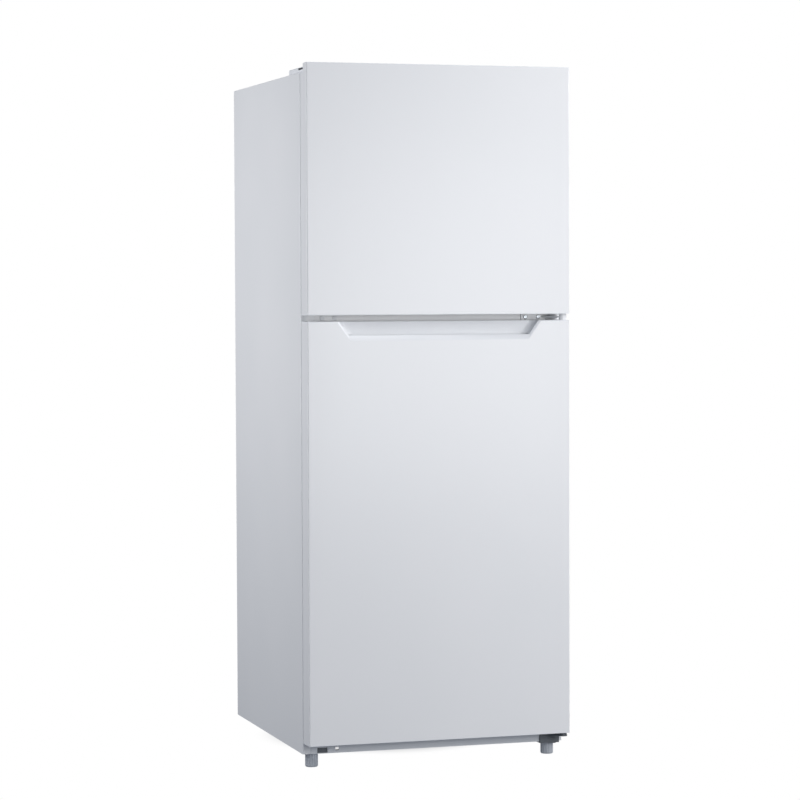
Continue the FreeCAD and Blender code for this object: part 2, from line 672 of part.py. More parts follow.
def compressor_grommets():
    """Rubber mounts in the four corners of the foot plate."""
    made = []
    low = TRAY_Z + TRAY_THICK
    for x, y in compressor_feet():
        body = rod(11.0, (x, y, low), (x, y, low + 12.0)).fuse(rod(6.8, (x, y, low), (x, y, low + 17.0)))
        top = rod(9.5, (x, y, low + 15.2), (x, y, low + 19.0))
        made.append(join(body, top).cut(rod(BOLT_RADIUS + 0.2, (x, y, 0), (x, y, 90))))
    return group(made)


def compressor_bolts():
    """Bolts with washer heads through the grommets."""
    made = []
    top = TRAY_Z + TRAY_THICK + 19.0
    for x, y in compressor_feet():
        shank = rod(BOLT_RADIUS, (x, y, TRAY_Z - 2.5), (x, y, top))
        washer = rod(8.0, (x, y, top), (x, y, top + 1.4))
        turns = [math.radians(60 * k) for k in range(6)]
        corners = [(x + 5.8 * math.cos(a), y + 5.8 * math.sin(a), top) for a in turns]
        made.append(join(shank, washer, prism(corners, (0, 0, 5.4))))
    return group(made)


def terminal_box():
    """Moulded cover over the start relay, on the side of the can."""
    x0 = PUMP_X + PUMP_RADIUS
    low, high = PUMP_LOW + 20.0, SEAM_Z - 1.0
    cover = box(x0 - 20.0, x0 + 34.0, PUMP_Y - 27, PUMP_Y + 27, low, high)
    cover = cover.makeFillet(5.0, edges_along(cover, X_AXIS))
    return cover.cut(can(0.0))


PAN_LOW = PUMP_LOW + PUMP_TALL
PAN_HIGH = BAY_TOP - SHEET - 4.0


def drain_pan():
    """Evaporating tray for defrost water, on top of the compressor."""
    left, right = DRAIN_X - 24, PUMP_X + 84
    return tray(left, right, BAY_FRONT + 40, CAB_REAR - 16, PAN_LOW, PAN_HIGH - 8.0, 2.0, 12.0)


def drain_tube():
    """Tube that brings defrost water through the insulation to the tray."""
    top = FREEZER_FLOOR - LINER - 1
    outer = rod(DRAIN_RADIUS - 0.5, (DRAIN_X, DRAIN_Y, PAN_HIGH - 14), (DRAIN_X, DRAIN_Y, top))
    return outer.cut(rod(DRAIN_RADIUS - 2.0, (DRAIN_X, DRAIN_Y, 0), (DRAIN_X, DRAIN_Y, HEIGHT)))


def refrigerant_tubes():
    """Copper suction, discharge and filter tubes in the bay."""
    radius, bend = 3.2, 14.0
    (sx, sy, sz), (dx, dy, dz) = stub_places()
    end_s, end_d = sx - 24.2, dx - 24.2
    wall = BAY_FRONT + 8.0
    front, rear = wall + 20, CAB_REAR - 60
    turn_s, turn_d = end_s - 40, end_d - 62
    low_s, low_d = TRAY_Z + 40, TRAY_Z + 26
    rise = -SIDE + 60
    suction = [(end_s, sy, sz), (turn_s, sy, sz), (turn_s, front, sz), (turn_s, front, low_s)]
    suction += [(rise, front, low_s), (rise, front, BAY_TOP - 20)]
    discharge = [(end_d, dy, dz), (turn_d, dy, dz), (turn_d, rear, dz), (turn_d, rear, low_d)]
    discharge += [(-SIDE + 34, rear, low_d)]
    x, y, z = DRIER
    liquid = [(-SIDE + 6, y, z - 40), (x, y, z - 40), (x, y, z - DRIER_NECK)]
    top = z + DRIER_TALL + DRIER_NECK
    capillary = [(x, y, top), (x, y, top + 26), (x, wall, top + 26), (x + 60, wall, top + 26)]
    runs = [tube(points, radius, bend) for points in (suction, discharge, liquid)]
    return group(runs + [tube(capillary, 1.3, 10.0)])


DRIER = (-SIDE + 128.0, BAY_FRONT + 30.0, TRAY_Z + 62.0)
DRIER_TALL = 78.0
DRIER_NECK = 14.0


def filter_drier():
    """Copper filter drier in the line between the condenser and the capillary."""
    x, y, z = DRIER
    body = rod(9.0, (x, y, z), (x, y, z + DRIER_TALL))
    body = body.makeFillet(5.0, [e for e in body.Edges if isinstance(e.Curve, Part.Circle)])
    necks = rod(4.2, (x, y, z - DRIER_NECK), (x, y, z + DRIER_TALL + DRIER_NECK))
    return join(body, necks)


def cord_gland():
    """Moulded bush where the mains lead leaves the bay."""
    x, z = GLAND
    back = CAB_REAR - SHEET - 0.3
    flange = rod(11.0, (x, back, z), (x, back + 3, z))
    nose = rod(7.5, (x, back, z), (x, back + GLAND_LENGTH, z))
    return join(flange, nose).cut(rod(GLAND_BORE, (x, back - 1, z), (x, back + 20, z)))


# ---------------------------------------------------------------- freezer inside
EVAP_FRONT = FREEZER_COVER_Y + 14.0
EVAP_BACK = ROOM_BACK - 8.0
EVAP_LOW = FREEZER_FLOOR + 34.0
EVAP_TALL = 150.0
EVAP_HALF = FREEZER_X - 34.0
FIN = 0.8
FIN_PITCH = 14.0


def evaporator():
    """Finned aluminium coil with its defrost heater below."""
    radius = 4.0
    z = EVAP_LOW - 16.0
    fins = []
    count = int(2 * EVAP_HALF / FIN_PITCH)
    for i in range(count + 1):
        x = -EVAP_HALF + i * FIN_PITCH
        fins.append(box(x, x + FIN, EVAP_FRONT, EVAP_BACK, EVAP_LOW, EVAP_LOW + EVAP_TALL))
    for side in (-1, 1):
        x = side * (EVAP_HALF + 3.0)
        fins.append(box(x - FIN, x + FIN, EVAP_FRONT, ROOM_BACK, z - 10, EVAP_LOW + EVAP_TALL + 6))
    coils = []
    for y in (EVAP_FRONT + 14, EVAP_BACK - 14):
        points = serpentine(
            6, 26.0, -EVAP_HALF - 14, EVAP_HALF + 14, lambda a, b, y=y: (b, y, EVAP_LOW + 10 + a)
        )
        coils.append(tube(points, radius, 12.0))
    y = (EVAP_FRONT + EVAP_BACK) / 2
    heater = rod(4.0, (-EVAP_HALF - 14, y, z), (EVAP_HALF + 14, y, z))
    block = fins[0].fuse(fins[1:] + coils).cut(heater)
    return group(block.Solids + [heater])


FAN_Z = EVAP_LOW + EVAP_TALL + 88.0
FAN_RADIUS = 50.0
FAN_Y = FREEZER_COVER_Y + 22.0


def fan_motor():
    """Evaporator fan motor on a three-legged bracket behind the air cover."""
    back = ROOM_BACK
    motor = rod(24.0, (0, FAN_Y + 16, FAN_Z), (0, back - 8, FAN_Z))
    legs = []
    for k in range(3):
        a = math.radians(90 + 120 * k)
        cx, cz = 58 * math.cos(a), 58 * math.sin(a)
        arm = rod(4.0, (0, back - 14, FAN_Z), (cx, back - 14, FAN_Z + cz))
        post = rod(6.0, (cx, back - 20, FAN_Z + cz), (cx, back, FAN_Z + cz))
        legs += [arm, post]
    bore = rod(2.6, (0, FAN_Y - 20, FAN_Z), (0, FAN_Y + 30, FAN_Z))
    return join(motor, *legs).cut(bore)


def fan_blade():
    """Five-bladed fan on its spindle."""
    hub = rod(15.0, (0, FAN_Y - 8, FAN_Z), (0, FAN_Y + 12, FAN_Z))
    hub = hub.makeFillet(3.0, [e for e in hub.Edges if e.CenterOfMass.y < FAN_Y - 7])
    spindle = rod(2.5, (0, FAN_Y, FAN_Z), (0, FAN_Y + 28, FAN_Z))
    blades = []
    for k in range(5):
        blade = box(10, FAN_RADIUS, FAN_Y - 1.0, FAN_Y + 1.0, FAN_Z - 14, FAN_Z + 14)
        blade = blade.makeFillet(8.0, edges_along(blade, Y_AXIS, lambda m: m.x > FAN_RADIUS - 1))
        blade.rotate(V(0, FAN_Y, FAN_Z), X_AXIS, 24)
        blade.rotate(V(0, FAN_Y, FAN_Z), Y_AXIS, 72 * k)
        blades.append(blade)
    return join(hub, spindle, *blades)


SLIDER_X = 150.0
SLIDER_Z = FREEZER_FLOOR + 92.0
SLIDER_TRAVEL = 14.0


def freezer_air_cover():
    """Moulded rear cover of the freezer with its fan grille, outlets and return slots."""
    reach = FREEZER_X - 0.3
    low, high = FREEZER_FLOOR + 0.3, FREEZER_CEILING - 0.3
    front = FREEZER_COVER_Y
    panel = rounded_box(-reach, reach, front, front + 2.5, low, high, 11.0, Y_AXIS)
    half, bottom, top = reach - 40, FREEZER_SHELF_Z + 22, high - 20
    raised = rounded_box(-half, half, front - 6, front + 1, bottom, top, 18.0, Y_AXIS)
    half, bottom, top = half - 2.5, bottom + 2.5, top - 2.5
    hollow = rounded_box(-half, half, front - 3.5, front + 4, bottom, top, 15.5, Y_AXIS)
    cuts = [hollow]
    for k in range(-4, 5):
        z = FAN_Z + 11.0 * k
        half = math.sqrt(max(FAN_RADIUS**2 - (11.0 * k) ** 2, 0))
        if half > 12:
            cuts.append(box(-half, half, front - 10, front + 5, z - 2.5, z + 2.5))
    for k in range(11):
        x = -180.0 + 36.0 * k
        for z in (FREEZER_FLOOR + 14, FREEZER_FLOOR + 26):
            cuts.append(box(x - 13, x + 13, front - 1, front + 5, z, z + 6))
    reach = SLIDER_TRAVEL + 5.0
    cuts.append(box(SLIDER_X - reach, SLIDER_X + reach, front - 1, front + 5, SLIDER_Z - 3, SLIDER_Z + 3))
    return panel.fuse(raised).cut(cuts)


def airflow_slider():
    """Slide that sets how much cold air goes down to the fresh food space."""
    front = FREEZER_COVER_Y
    x, low, high = SLIDER_X, SLIDER_Z - 7, SLIDER_Z + 7
    knob = rounded_box(x - 9, x + 9, front - 8, front - 0.4, low, high, 3.0, Y_AXIS)
    neck = box(x - 4, x + 4, front - 1, front + 3.2, SLIDER_Z - 2.6, SLIDER_Z + 2.6)
    back = box(x - 12, x + 12, front + 3.0, front + 5.0, low, high)
    return join(knob, neck, back)


def freezer_shelf():
    """Coated wire shelf: two rails with cross wires."""
    z = FREEZER_SHELF_Z + 3.2
    half = FREEZER_X - 2.0
    front, back = SHELF_FRONT - 4.0, FREEZER_COVER_Y - 12.0
    rails = [rod(3.0, (-half, y, z), (half, y, z)) for y in (front, (front + back) / 2, back)]
    wires = []
    count = 21
    for k in range(count):
        x = -half + 12.0 + (2 * half - 24.0) * k / (count - 1)
        wires.append(rod(1.7, (x, front, z + 3.4), (x, back, z + 3.4)))
    return rails[0].fuse(rails[1:] + wires)


# ---------------------------------------------------------------- fresh food inside
def shelf_span():
    """Half width of a shelf."""
    return FRIDGE_X - 2.5


TRIM_DEPTH = 16.0


def shelf_glass(z):
    """One toughened pane."""
    half = shelf_span()
    pane = box(-half, half, SHELF_FRONT + 3.0, SHELF_BACK - 3.0, z, z + SHELF_GLASS)
    return pane


def shelf_trim(z):
    """Front and rear edge trims of a pane."""
    half = shelf_span()
    front = box(-half + 9, half - 9, SHELF_FRONT, SHELF_FRONT + TRIM_DEPTH, z - SHELF_TRIM + 7, z + 7)
    front = front.makeFillet(3.0, edges_along(front, X_AXIS, lambda m: m.y < SHELF_FRONT + 1))
    rear = box(-half + 9, half - 9, SHELF_BACK - TRIM_DEPTH, SHELF_BACK, z - 3, z + 18)
    rear = rear.makeFillet(3.0, edges_along(rear, X_AXIS, lambda m: m.z > z + 10))
    slot = box(-half - 5, half + 5, SHELF_FRONT + 3.0, SHELF_BACK - 3.0, z, z + SHELF_GLASS)
    return [front.cut(slot), rear.cut(slot)]


CRISPER_BACK = STEP_FRONT - 8.0
CRISPER_FRONT = SHELF_FRONT - 2.0


def crisper_glass():
    """Pane that covers both crispers and rests on the step."""
    z = CRISPER_TOP - CRISPER_GLASS_DROP
    half = shelf_span()
    return box(-half, half, SHELF_FRONT + 3.0, STEP_FRONT - 2.0, z, z + SHELF_GLASS)


def crisper_rail():
    """Front bar over the crispers with the centre guide between them."""
    z = CRISPER_TOP
    half = shelf_span()
    bar = box(-half + 9, half - 9, SHELF_FRONT, SHELF_FRONT + TRIM_DEPTH, z - 24, z + 4)
    bar = bar.makeFillet(3.0, edges_along(bar, X_AXIS, lambda m: m.y < SHELF_FRONT + 1))
    stem = box(-4, 4, SHELF_FRONT + 4, CRISPER_BACK, z - 40, z - SHELF_GLASS - 0.2)
    wings = box(-14, 14, SHELF_FRONT + 4, CRISPER_BACK, z - 42, z - 40)
    slot = box(-half - 5, half + 5, SHELF_FRONT + 3.0, STEP_FRONT, z - SHELF_GLASS, z)
    return join(bar, stem, wings).cut(slot)


def glass_shelves():
    """The two toughened shelves and the pane over the crispers."""
    return group([shelf_glass(z) for z in SHELF_LEVELS] + [crisper_glass()])


def shelf_trims():
    """Front and rear trims of both shelves, and the front bar over the crispers."""
    return group([piece for z in SHELF_LEVELS for piece in shelf_trim(z)] + [crisper_rail()])


def crisper(side):
    """One vegetable drawer with a pull lip on its front."""
    inner, outer = 5.0 + CRISPER_CLEARANCE, FRIDGE_X - CRISPER_SIDE
    x0, x1 = sorted((side * inner, side * outer))
    low, high = FRIDGE_FLOOR + 4.0, CRISPER_TOP - 50.0
    front = CRISPER_FRONT - 6.0
    body = tray(x0, x1, front, CRISPER_BACK, low, high, CRISPER_WALL, 12.0)
    face_top = CRISPER_TOP - 28.0
    face = rounded_box(x0, x1, front - 4.0, front + 1.5, low, face_top, 6.0, Y_AXIS)
    middle = (x0 + x1) / 2
    pull = box(middle - 55, middle + 55, front - 16.0, front - 3.0, face_top - 14.0, face_top - 10.5)
    pull = pull.makeFillet(1.5, edges_along(pull, X_AXIS, lambda m: m.y < front - 15))
    return join(body, face, pull)


DUCT_COVER_HALF = 112.0
DUCT_COVER_LOW = STEP_TOP + 16.0
DUCT_COVER_DEPTH = 26.0


def air_duct_cover():
    """Moulded duct down the back wall with air outlets on its face."""
    low, high = DUCT_COVER_LOW, FRIDGE_CEILING - 1.0
    front = ROOM_BACK - DUCT_COVER_DEPTH
    half = DUCT_COVER_HALF
    outer = rounded_box(-half, half, front, ROOM_BACK - 0.2, low, high, 14.0, Y_AXIS)
    soft = [e for e in outer.Edges if e.CenterOfMass.y < front + 0.1]
    outer = outer.makeFillet(5.0, soft)
    inner = rounded_box(-half + 2, half - 2, front + 2, ROOM_BACK + 5, low + 2, high + 4, 12.0, Y_AXIS)
    cuts = [inner]
    levels = 4
    for k in range(levels):
        z = low + 70 + (high - 200 - low) * k / (levels - 1)
        for x in (-58.0, 58.0):
            for row in (-7.0, 7.0):
                cuts.append(box(x - 30, x + 30, front - 1, front + 5, z + row - 2.5, z + row + 2.5))
    return outer.cut(cuts)


CONTROL_HALF = 105.0
CONTROL_FRONT = CAB_FRONT + 150.0
CONTROL_BACK = CONTROL_FRONT + 150.0
CONTROL_LOW = FRIDGE_CEILING - 46.0
KNOB_X = -46.0
KNOB_Z = CONTROL_LOW + 23.0
KNOB_RADIUS = 16.0
LAMP_X = 42.0


def control_box():
    """Thermostat and lamp housing under the ceiling."""
    high = FRIDGE_CEILING - 0.2
    outer = box(-CONTROL_HALF, CONTROL_HALF, CONTROL_FRONT, CONTROL_BACK, CONTROL_LOW, high)
    outer = outer.makeFillet(9.0, edges_along(outer, Z_AXIS))
    low = [e for e in outer.Edges if e.CenterOfMass.z < CONTROL_LOW + 0.1]
    outer = outer.makeFillet(3.0, low)
    half, wall = CONTROL_HALF - 2.5, 2.5
    inner = box(-half, half, CONTROL_FRONT + wall, CONTROL_BACK - wall, CONTROL_LOW + wall, high + 5)
    inner = inner.makeFillet(7.0, edges_along(inner, Z_AXIS))
    front, back = CONTROL_FRONT + 34, CONTROL_FRONT + 104
    window = rounded_box(LAMP_X - 45, LAMP_X + 45, front, back, CONTROL_LOW - 1, CONTROL_LOW + 4, 8)
    spindle = rod(3.1, (KNOB_X, CONTROL_FRONT - 5, KNOB_Z), (KNOB_X, CONTROL_FRONT + 10, KNOB_Z))
    return outer.cut([inner, window, spindle])


def lamp_lens():
    """Clear cover of the ceiling lamp."""
    half = 44.7
    front, back, z = CONTROL_FRONT + 34.3, CONTROL_FRONT + 103.7, CONTROL_LOW
    plate = rounded_box(LAMP_X - half, LAMP_X + half, front, back, z + 0.4, z + 2.4, 7.5)
    dome = box(LAMP_X - 40, LAMP_X + 40, front + 15.7, back - 15.7, z + 2.0, z + 9.0)
    return join(plate, dome)


def thermostat_knob():
    """Temperature dial with a grip bar across its face."""
    y = CONTROL_FRONT
    dial = rod(KNOB_RADIUS, (KNOB_X, y - 5, KNOB_Z), (KNOB_X, y - 0.4, KNOB_Z))
    bar = box(KNOB_X - 3.2, KNOB_X + 3.2, y - 15, y - 4, KNOB_Z - KNOB_RADIUS + 2, KNOB_Z + KNOB_RADIUS - 2)
    bar = bar.makeFillet(1.4, edges_along(bar, Z_AXIS, lambda m: m.y < y - 14))
    spindle = rod(3.0, (KNOB_X, y - 1, KNOB_Z), (KNOB_X, y + 8, KNOB_Z))
    return join(dial, bar, spindle)


# ---------------------------------------------------------------- hinges
def pin(z0, z1):
    """Hinge pin between two heights."""
    return rod(PIN_RADIUS, (HINGE_X, HINGE_Y, z0), (HINGE_X, HINGE_Y, z1))


def collar(z0, z1):
    """Washer round the pin."""
    return rod(COLLAR_RADIUS, (HINGE_X, HINGE_Y, z0), (HINGE_X, HINGE_Y, z1))


def arm(root_left, root_right, root_y, z):
    """Flat hinge arm from a root on the cabinet to the round end at the pin."""
    dx, dy = (root_left + root_right) / 2 - HINGE_X, root_y - HINGE_Y
    length = math.hypot(dx, dy)
    nx, ny = -dy / length * ARM_END, dx / length * ARM_END
    points = [
        (HINGE_X + nx, HINGE_Y + ny, z), (root_left, root_y, z),
        (root_right, root_y, z), (HINGE_X - nx, HINGE_Y - ny, z),
    ]
    plate = prism(points, (0, 0, HINGE_PLATE))
    return plate.fuse(rod(ARM_END, (HINGE_X, HINGE_Y, z), (HINGE_X, HINGE_Y, z + HINGE_PLATE)))


TOP_ARM_Z = CAB_TOP
COVER_HEIGHT = 13.0
TOP_DECK = CAB_TOP - 2.0  # floor of the hinge recess in the freezer door's top cap


def top_hinge():
    """Plate screwed to the cabinet top, with its arm and pin down into the freezer door."""
    root = CAB_FRONT + 16.0
    back = CAB_FRONT + 92.0
    plate = rounded_box(HINGE_X - 78, HINGE_X - 8, root, back, CAB_TOP, CAB_TOP + HINGE_PLATE, 6.0)
    reach = arm(HINGE_X - 74, HINGE_X - 44, root + 6.0, TOP_ARM_Z)
    shaft = pin(TOP_DECK - PIN_REACH, TOP_ARM_Z + HINGE_PLATE)
    return join(plate, reach, shaft).cut(hinge_holes())


def hinge_cover_form(x0, x1, y0, y1, height):
    """Low moulded cover open underneath."""
    outer = rounded_box(x0, x1, y0, y1, CAB_TOP, CAB_TOP + height, 8.0)
    outer = outer.makeFillet(3.0, [e for e in outer.Edges if e.CenterOfMass.z > CAB_TOP + height - 0.1])
    return outer.cut(rounded_box(x0 + 2, x1 - 2, y0 + 2, y1 - 2, CAB_TOP - 1, CAB_TOP + height - 2, 6.0))


def top_hinge_cover():
    """Cover over the top hinge, open at the front for the arm."""
    x0, x1 = HINGE_X - 84, HINGE_X - 2
    y0, y1 = CAB_FRONT + 8.0, CAB_FRONT + 100.0
    form = hinge_cover_form(x0, x1, y0, y1, COVER_HEIGHT)
    return form.cut(box(x0 + 6, x1 - 3, y0 - 1, y0 + 5, CAB_TOP - 1, CAB_TOP + HINGE_PLATE + 1.0))


def top_left_cap():
    """Cap over the spare hinge seat on the other front corner of the top."""
    x0, x1 = -SIDE + 8.0, -SIDE + 56.0
    y0, y1 = CAB_FRONT + 2.0, CAB_FRONT + 122.0
    form = hinge_cover_form(x0, x1, y0, y1, COVER_HEIGHT)
    return form.cut(box(x0 - 1, x0 + 3, y0 - 1, y0 + 38, CAB_TOP + 7.0, CAB_TOP + 11.0))


def middle_hinge():
    """Angle bracket on the middle wall with a pin up and a pin down."""
    left, near = MID_SCREWS[0][0] - 10.5, MID_SCREWS[1][0]
    front, tall = CAB_FRONT - HINGE_PLATE, 6.6
    plate = box(left, near + 7.0, front, CAB_FRONT, SPLIT_MIDDLE - tall, SPLIT_MIDDLE + tall)
    z = SPLIT_MIDDLE - HINGE_PLATE / 2
    reach = arm(near + 6.0, SIDE - 8.0, CAB_FRONT, z)
    root = box(near + 6.0, SIDE - 8.0, front, CAB_FRONT, z, z + HINGE_PLATE)
    up = pin(z, FREEZER_DOOR_BOTTOM + PIN_REACH)
    down = pin(FRIDGE_DOOR_TOP - PIN_REACH, z)
    collars = [collar(z + 1, FREEZER_DOOR_BOTTOM - 0.3), collar(FRIDGE_DOOR_TOP + 0.3, z + 1)]
    return join(plate, reach, root, up, down, *collars).cut(hinge_holes())


LEAF_Z = CAB_BOTTOM + 17.0


def bottom_hinge():
    """Heavy angle bracket, screwed up under the base rail, with the lower door's pin."""
    left, right = SIDE - 53.0, SIDE - 8.0
    front = CAB_FRONT - 2 * HINGE_PLATE
    low = CAB_BOTTOM - HINGE_PLATE
    plate = box(left, right, front, CAB_FRONT - 1.2, low, LEAF_Z + HINGE_PLATE)
    flange = box(left, right, front, CAB_FRONT + RAIL_DEPTH + 1, low, CAB_BOTTOM)
    leaf = arm(left + 1.5, right, front + 1, LEAF_Z)
    shaft = pin(LEAF_Z, FRIDGE_DOOR_BOTTOM + PIN_REACH)
    washer = collar(LEAF_Z, FRIDGE_DOOR_BOTTOM - 0.3)
    x, y = foot_place(1)
    way = rod(FOOT_STUD + 0.5, (x, y, low - 1), (x, y, CAB_BOTTOM + 1))
    return join(plate, flange, leaf, shaft, washer).cut([way] + hinge_holes())


def hinge_screws():
    """All the hinge screws."""
    made = [screw(*p, FRONT) for p in MID_SCREWS] + [screw(*p, DOWN) for p in LOW_SCREWS]
    return group(made + [screw(*p, UP) for p in TOP_SCREWS])


# ---------------------------------------------------------------- doors
DOOR_INSET = 9.0  # steel edge to the raised part of the liner


def door_skin(low, high):
    """Painted steel front of a door, folded round both sides with a return flange."""
    outer = box(-SIDE, SIDE, FACE, RIM, low, high)
    outer = outer.makeFillet(DOOR_CORNER, edges_along(outer, Z_AXIS, lambda m: m.y < FACE + 1))
    reach = SIDE - SHEET
    inner = box(-reach, reach, FACE + SHEET, RIM - SHEET, low - 1, high + 1)
    inner = inner.makeFillet(DOOR_CORNER - SHEET, edges_along(inner, Z_AXIS, lambda m: m.y < FACE + 2))
    back = box(-SIDE + 8.0, SIDE - 8.0, RIM - 3, RIM + 1, low - 1, high + 1)
    return outer.cut([inner, back])


def door_spaces():
    """Low, high, dyke half width, dyke top and dyke bottom of the two doors."""
    gap = DYKE_CLEARANCE
    return {
        "freezer": (
            FREEZER_DOOR_BOTTOM, TOP_DECK, FREEZER_X - gap, FREEZER_CEILING - 12, FREEZER_FLOOR + 12,
        ),
        "fridge": (
            FRIDGE_DOOR_BOTTOM, FRIDGE_DOOR_TOP, FRIDGE_X - gap, FRIDGE_CEILING - 12, FRIDGE_FLOOR + 12,
        ),
    }


def door_form(name, shrink):
    """Everything behind the steel face of a door, shrunk by the liner's thickness."""
    low, high, half, top, bottom = door_spaces()[name]
    edge = DOOR_INSET + shrink
    seat = box(-SIDE + edge, SIDE - edge, RIM - 2, SEAT - shrink, low + edge, high - edge)
    seat = seat.makeFillet(5.0, edges_along(seat, Y_AXIS))
    back = SEAT + DYKE_HEIGHT - shrink
    outer = box(-half + shrink, half - shrink, SEAT - 5, back, bottom + shrink, top - shrink)
    outer = outer.makeFillet(14.0 - shrink, edges_along(outer, Y_AXIS))
    crest = [e for e in outer.Edges if e.CenterOfMass.y > back - 0.1]
    outer = outer.makeFillet(6.0 - shrink, crest)
    wide = DYKE_WIDTH - shrink
    well = box(-half + wide, half - wide, SEAT - shrink, back + 10, bottom + wide, top - wide)
    well = well.makeFillet(9.0 + shrink, edges_along(well, Y_AXIS))
    return seat.fuse(outer).cut(well)


def door_liner(name):
    """Vacuum formed inner face of a door, lying on the steel's return flange."""
    low, high, _, _, _ = door_spaces()[name]
    flange = box(-SIDE + 2, SIDE - 2, RIM, RIM + LINER, low + CAP, high - CAP)
    shell = door_form(name, 0.0).fuse(flange).cut(door_form(name, LINER))
    shell = shell.cut(box(-SIDE, SIDE, FACE, RIM, 0, HEIGHT + 1))
    return shell.fuse(bin_lugs(name))


def bin_lugs(name):
    """Moulded lugs inside the border that the bins hang on."""
    _, _, half, _, _ = door_spaces()[name]
    face = half - DYKE_WIDTH
    made = []
    for z in BIN_LEVELS[name]:
        lug = box(face - 3.0, face + 1.0, SEAT + 8, SEAT + 28, z + 4, z + 34)
        made += [lug, mirrored(lug)]
    return made


BIN_FOOT = {"freezer": 48.0, "fridge": 46.0}  # lowest bin above the floor of its room
BIN_DROP = {"freezer": 189.0, "fridge": 249.0}  # foot of the highest bin below the ceiling
BIN_MIDDLE_RAISE = 17.0  # middle bin above half way, to leave room for tall bottles


def bin_levels():
    """Heights of the feet of the bins of the two doors."""
    freezer = [FREEZER_FLOOR + BIN_FOOT["freezer"], FREEZER_CEILING - BIN_DROP["freezer"]]
    low, high = FRIDGE_FLOOR + BIN_FOOT["fridge"], FRIDGE_CEILING - BIN_DROP["fridge"]
    return {"freezer": freezer, "fridge": [low, (low + high) / 2 + BIN_MIDDLE_RAISE, high]}


BIN_LEVELS = bin_levels()
BIN_HEIGHTS = {"freezer": [88.0, 88.0], "fridge": [120.0, 96.0, 84.0]}
BIN_SIDE = 0.6


def door_bin(name, k):
    """Lift-off bin between the borders of a door, notched for its lugs."""
    _, _, half, _, _ = door_spaces()[name]
    reach = half - DYKE_WIDTH - BIN_SIDE
    low = BIN_LEVELS[name][k]
    high = low + BIN_HEIGHTS[name][k]
    front = SEAT + 0.5
    body = tray(-reach, reach, front, front + BIN_DEPTH, low, high, BIN_WALL, 9.0)
    lip = rounded_box(-reach, reach, front + BIN_DEPTH - 8, front + BIN_DEPTH, high - 10, high, 3.0)
    shape = body.fuse(lip.cut(box(-reach - 5, reach + 5, front, front + BIN_DEPTH - 5, low, high + 5)))
    notches = []
    for side in (-1, 1):
        x0, x1 = sorted((side * (reach - 4.0), side * (reach + 5)))
        notches.append(box(x0, x1, SEAT + 7.6, SEAT + 28.4, low + 3.6, low + 34.4))
    return shape.cut(notches)


def gasket(name):
    """Magnetic seal: a soft frame between the door and the front of the cabinet."""
    low, high, _, _, _ = door_spaces()[name]
    g = GASKET_INSET
    y1 = CAB_FRONT - SEAL_CLEARANCE
    outer = rounded_box(-SIDE + g, SIDE - g, SEAT, y1, low + g, high - g, 6.0, Y_AXIS)
    g += GASKET_WIDTH
    inner = rounded_box(-SIDE + g, SIDE - g, SEAT - 1, y1 + 1, low + g, high - g, 4.0, Y_AXIS)
    return outer.cut(inner)


def pin_hole(z0, z1):
    """Bore for a hinge pin."""
    return rod(PIN_RADIUS + PIN_CLEARANCE, (HINGE_X, HINGE_Y, z0), (HINGE_X, HINGE_Y, z1))


BUSH_RADIUS = 8.0
BUSH_DEPTH = PIN_REACH + 3.0


def bush(z0, z1):
    """Boss in an end cap round a pin."""
    return rod(BUSH_RADIUS, (HINGE_X, HINGE_Y, z0), (HINGE_X, HINGE_Y, z1))


SKIRT = 12.0  # height of an end cap's wall inside the steel


def cap_plate(low, high):
    """Plate that closes the end of a door, with its rounded front corners."""
    plate = box(-SIDE, SIDE, FACE, RIM + LINER, low, high)
    return plate.makeFillet(DOOR_CORNER, edges_along(plate, Z_AXIS, lambda m: m.y < FACE + 1))


def cap_skirt(low, high):
    """Wall of an end cap inside the steel front."""
    inset = SHEET + 0.2
    outer = box(-SIDE + inset, SIDE - inset, FACE + inset, RIM - SHEET - 0.2, low, high)
    outer = outer.makeFillet(DOOR_CORNER - inset, edges_along(outer, Z_AXIS, lambda m: m.y < FACE + 3))
    inset += CAP
    back = RIM - SHEET - 0.2 - CAP
    return outer.cut(box(-SIDE + inset, SIDE - inset, FACE + inset, back, low - 1, high + 1))


def grip_outline(half_top, half_bottom, top, bottom, y):
    """Trapezium of the grip at one depth."""
    return [(-half_top, y, top), (half_top, y, top), (half_bottom, y, bottom), (-half_bottom, y, bottom)]


GRIP_LOW = FRIDGE_DOOR_TOP - GRIP_HEIGHT
GRIP_FLOOR = GRIP_LOW + GRIP_BEVEL
GRIP_SLOPE = (GRIP_TOP - GRIP_BOTTOM) / GRIP_HEIGHT
GRIP_INNER = GRIP_BOTTOM + GRIP_BEVEL * GRIP_SLOPE - GRIP_SIDE_BEVEL  # half width of the floor


def grip_outer(grow=0.0, deep=GRIP_RECESS + GRIP_WALL):
    """Block of the grip insert, grown a little for the cut in its neighbours."""
    top = FRIDGE_DOOR_TOP + 1
    bottom = GRIP_LOW - grow
    wide = GRIP_TOP + GRIP_SLOPE + grow
    narrow = GRIP_BOTTOM + grow - GRIP_SLOPE * grow
    block = prism(grip_outline(wide, narrow, top, bottom, FACE - 1), (0, 1 + GRIP_WALL, 0))
    inside = GRIP_BOTTOM - 4.0 + grow
    well = prism(
        grip_outline(wide - GRIP_CHEEK, inside, top, GRIP_FLOOR - GRIP_GROOVE - GRIP_WALL - grow, FACE + 1),
        (0, deep - 1 + grow, 0),
    )
    return block.fuse(well)


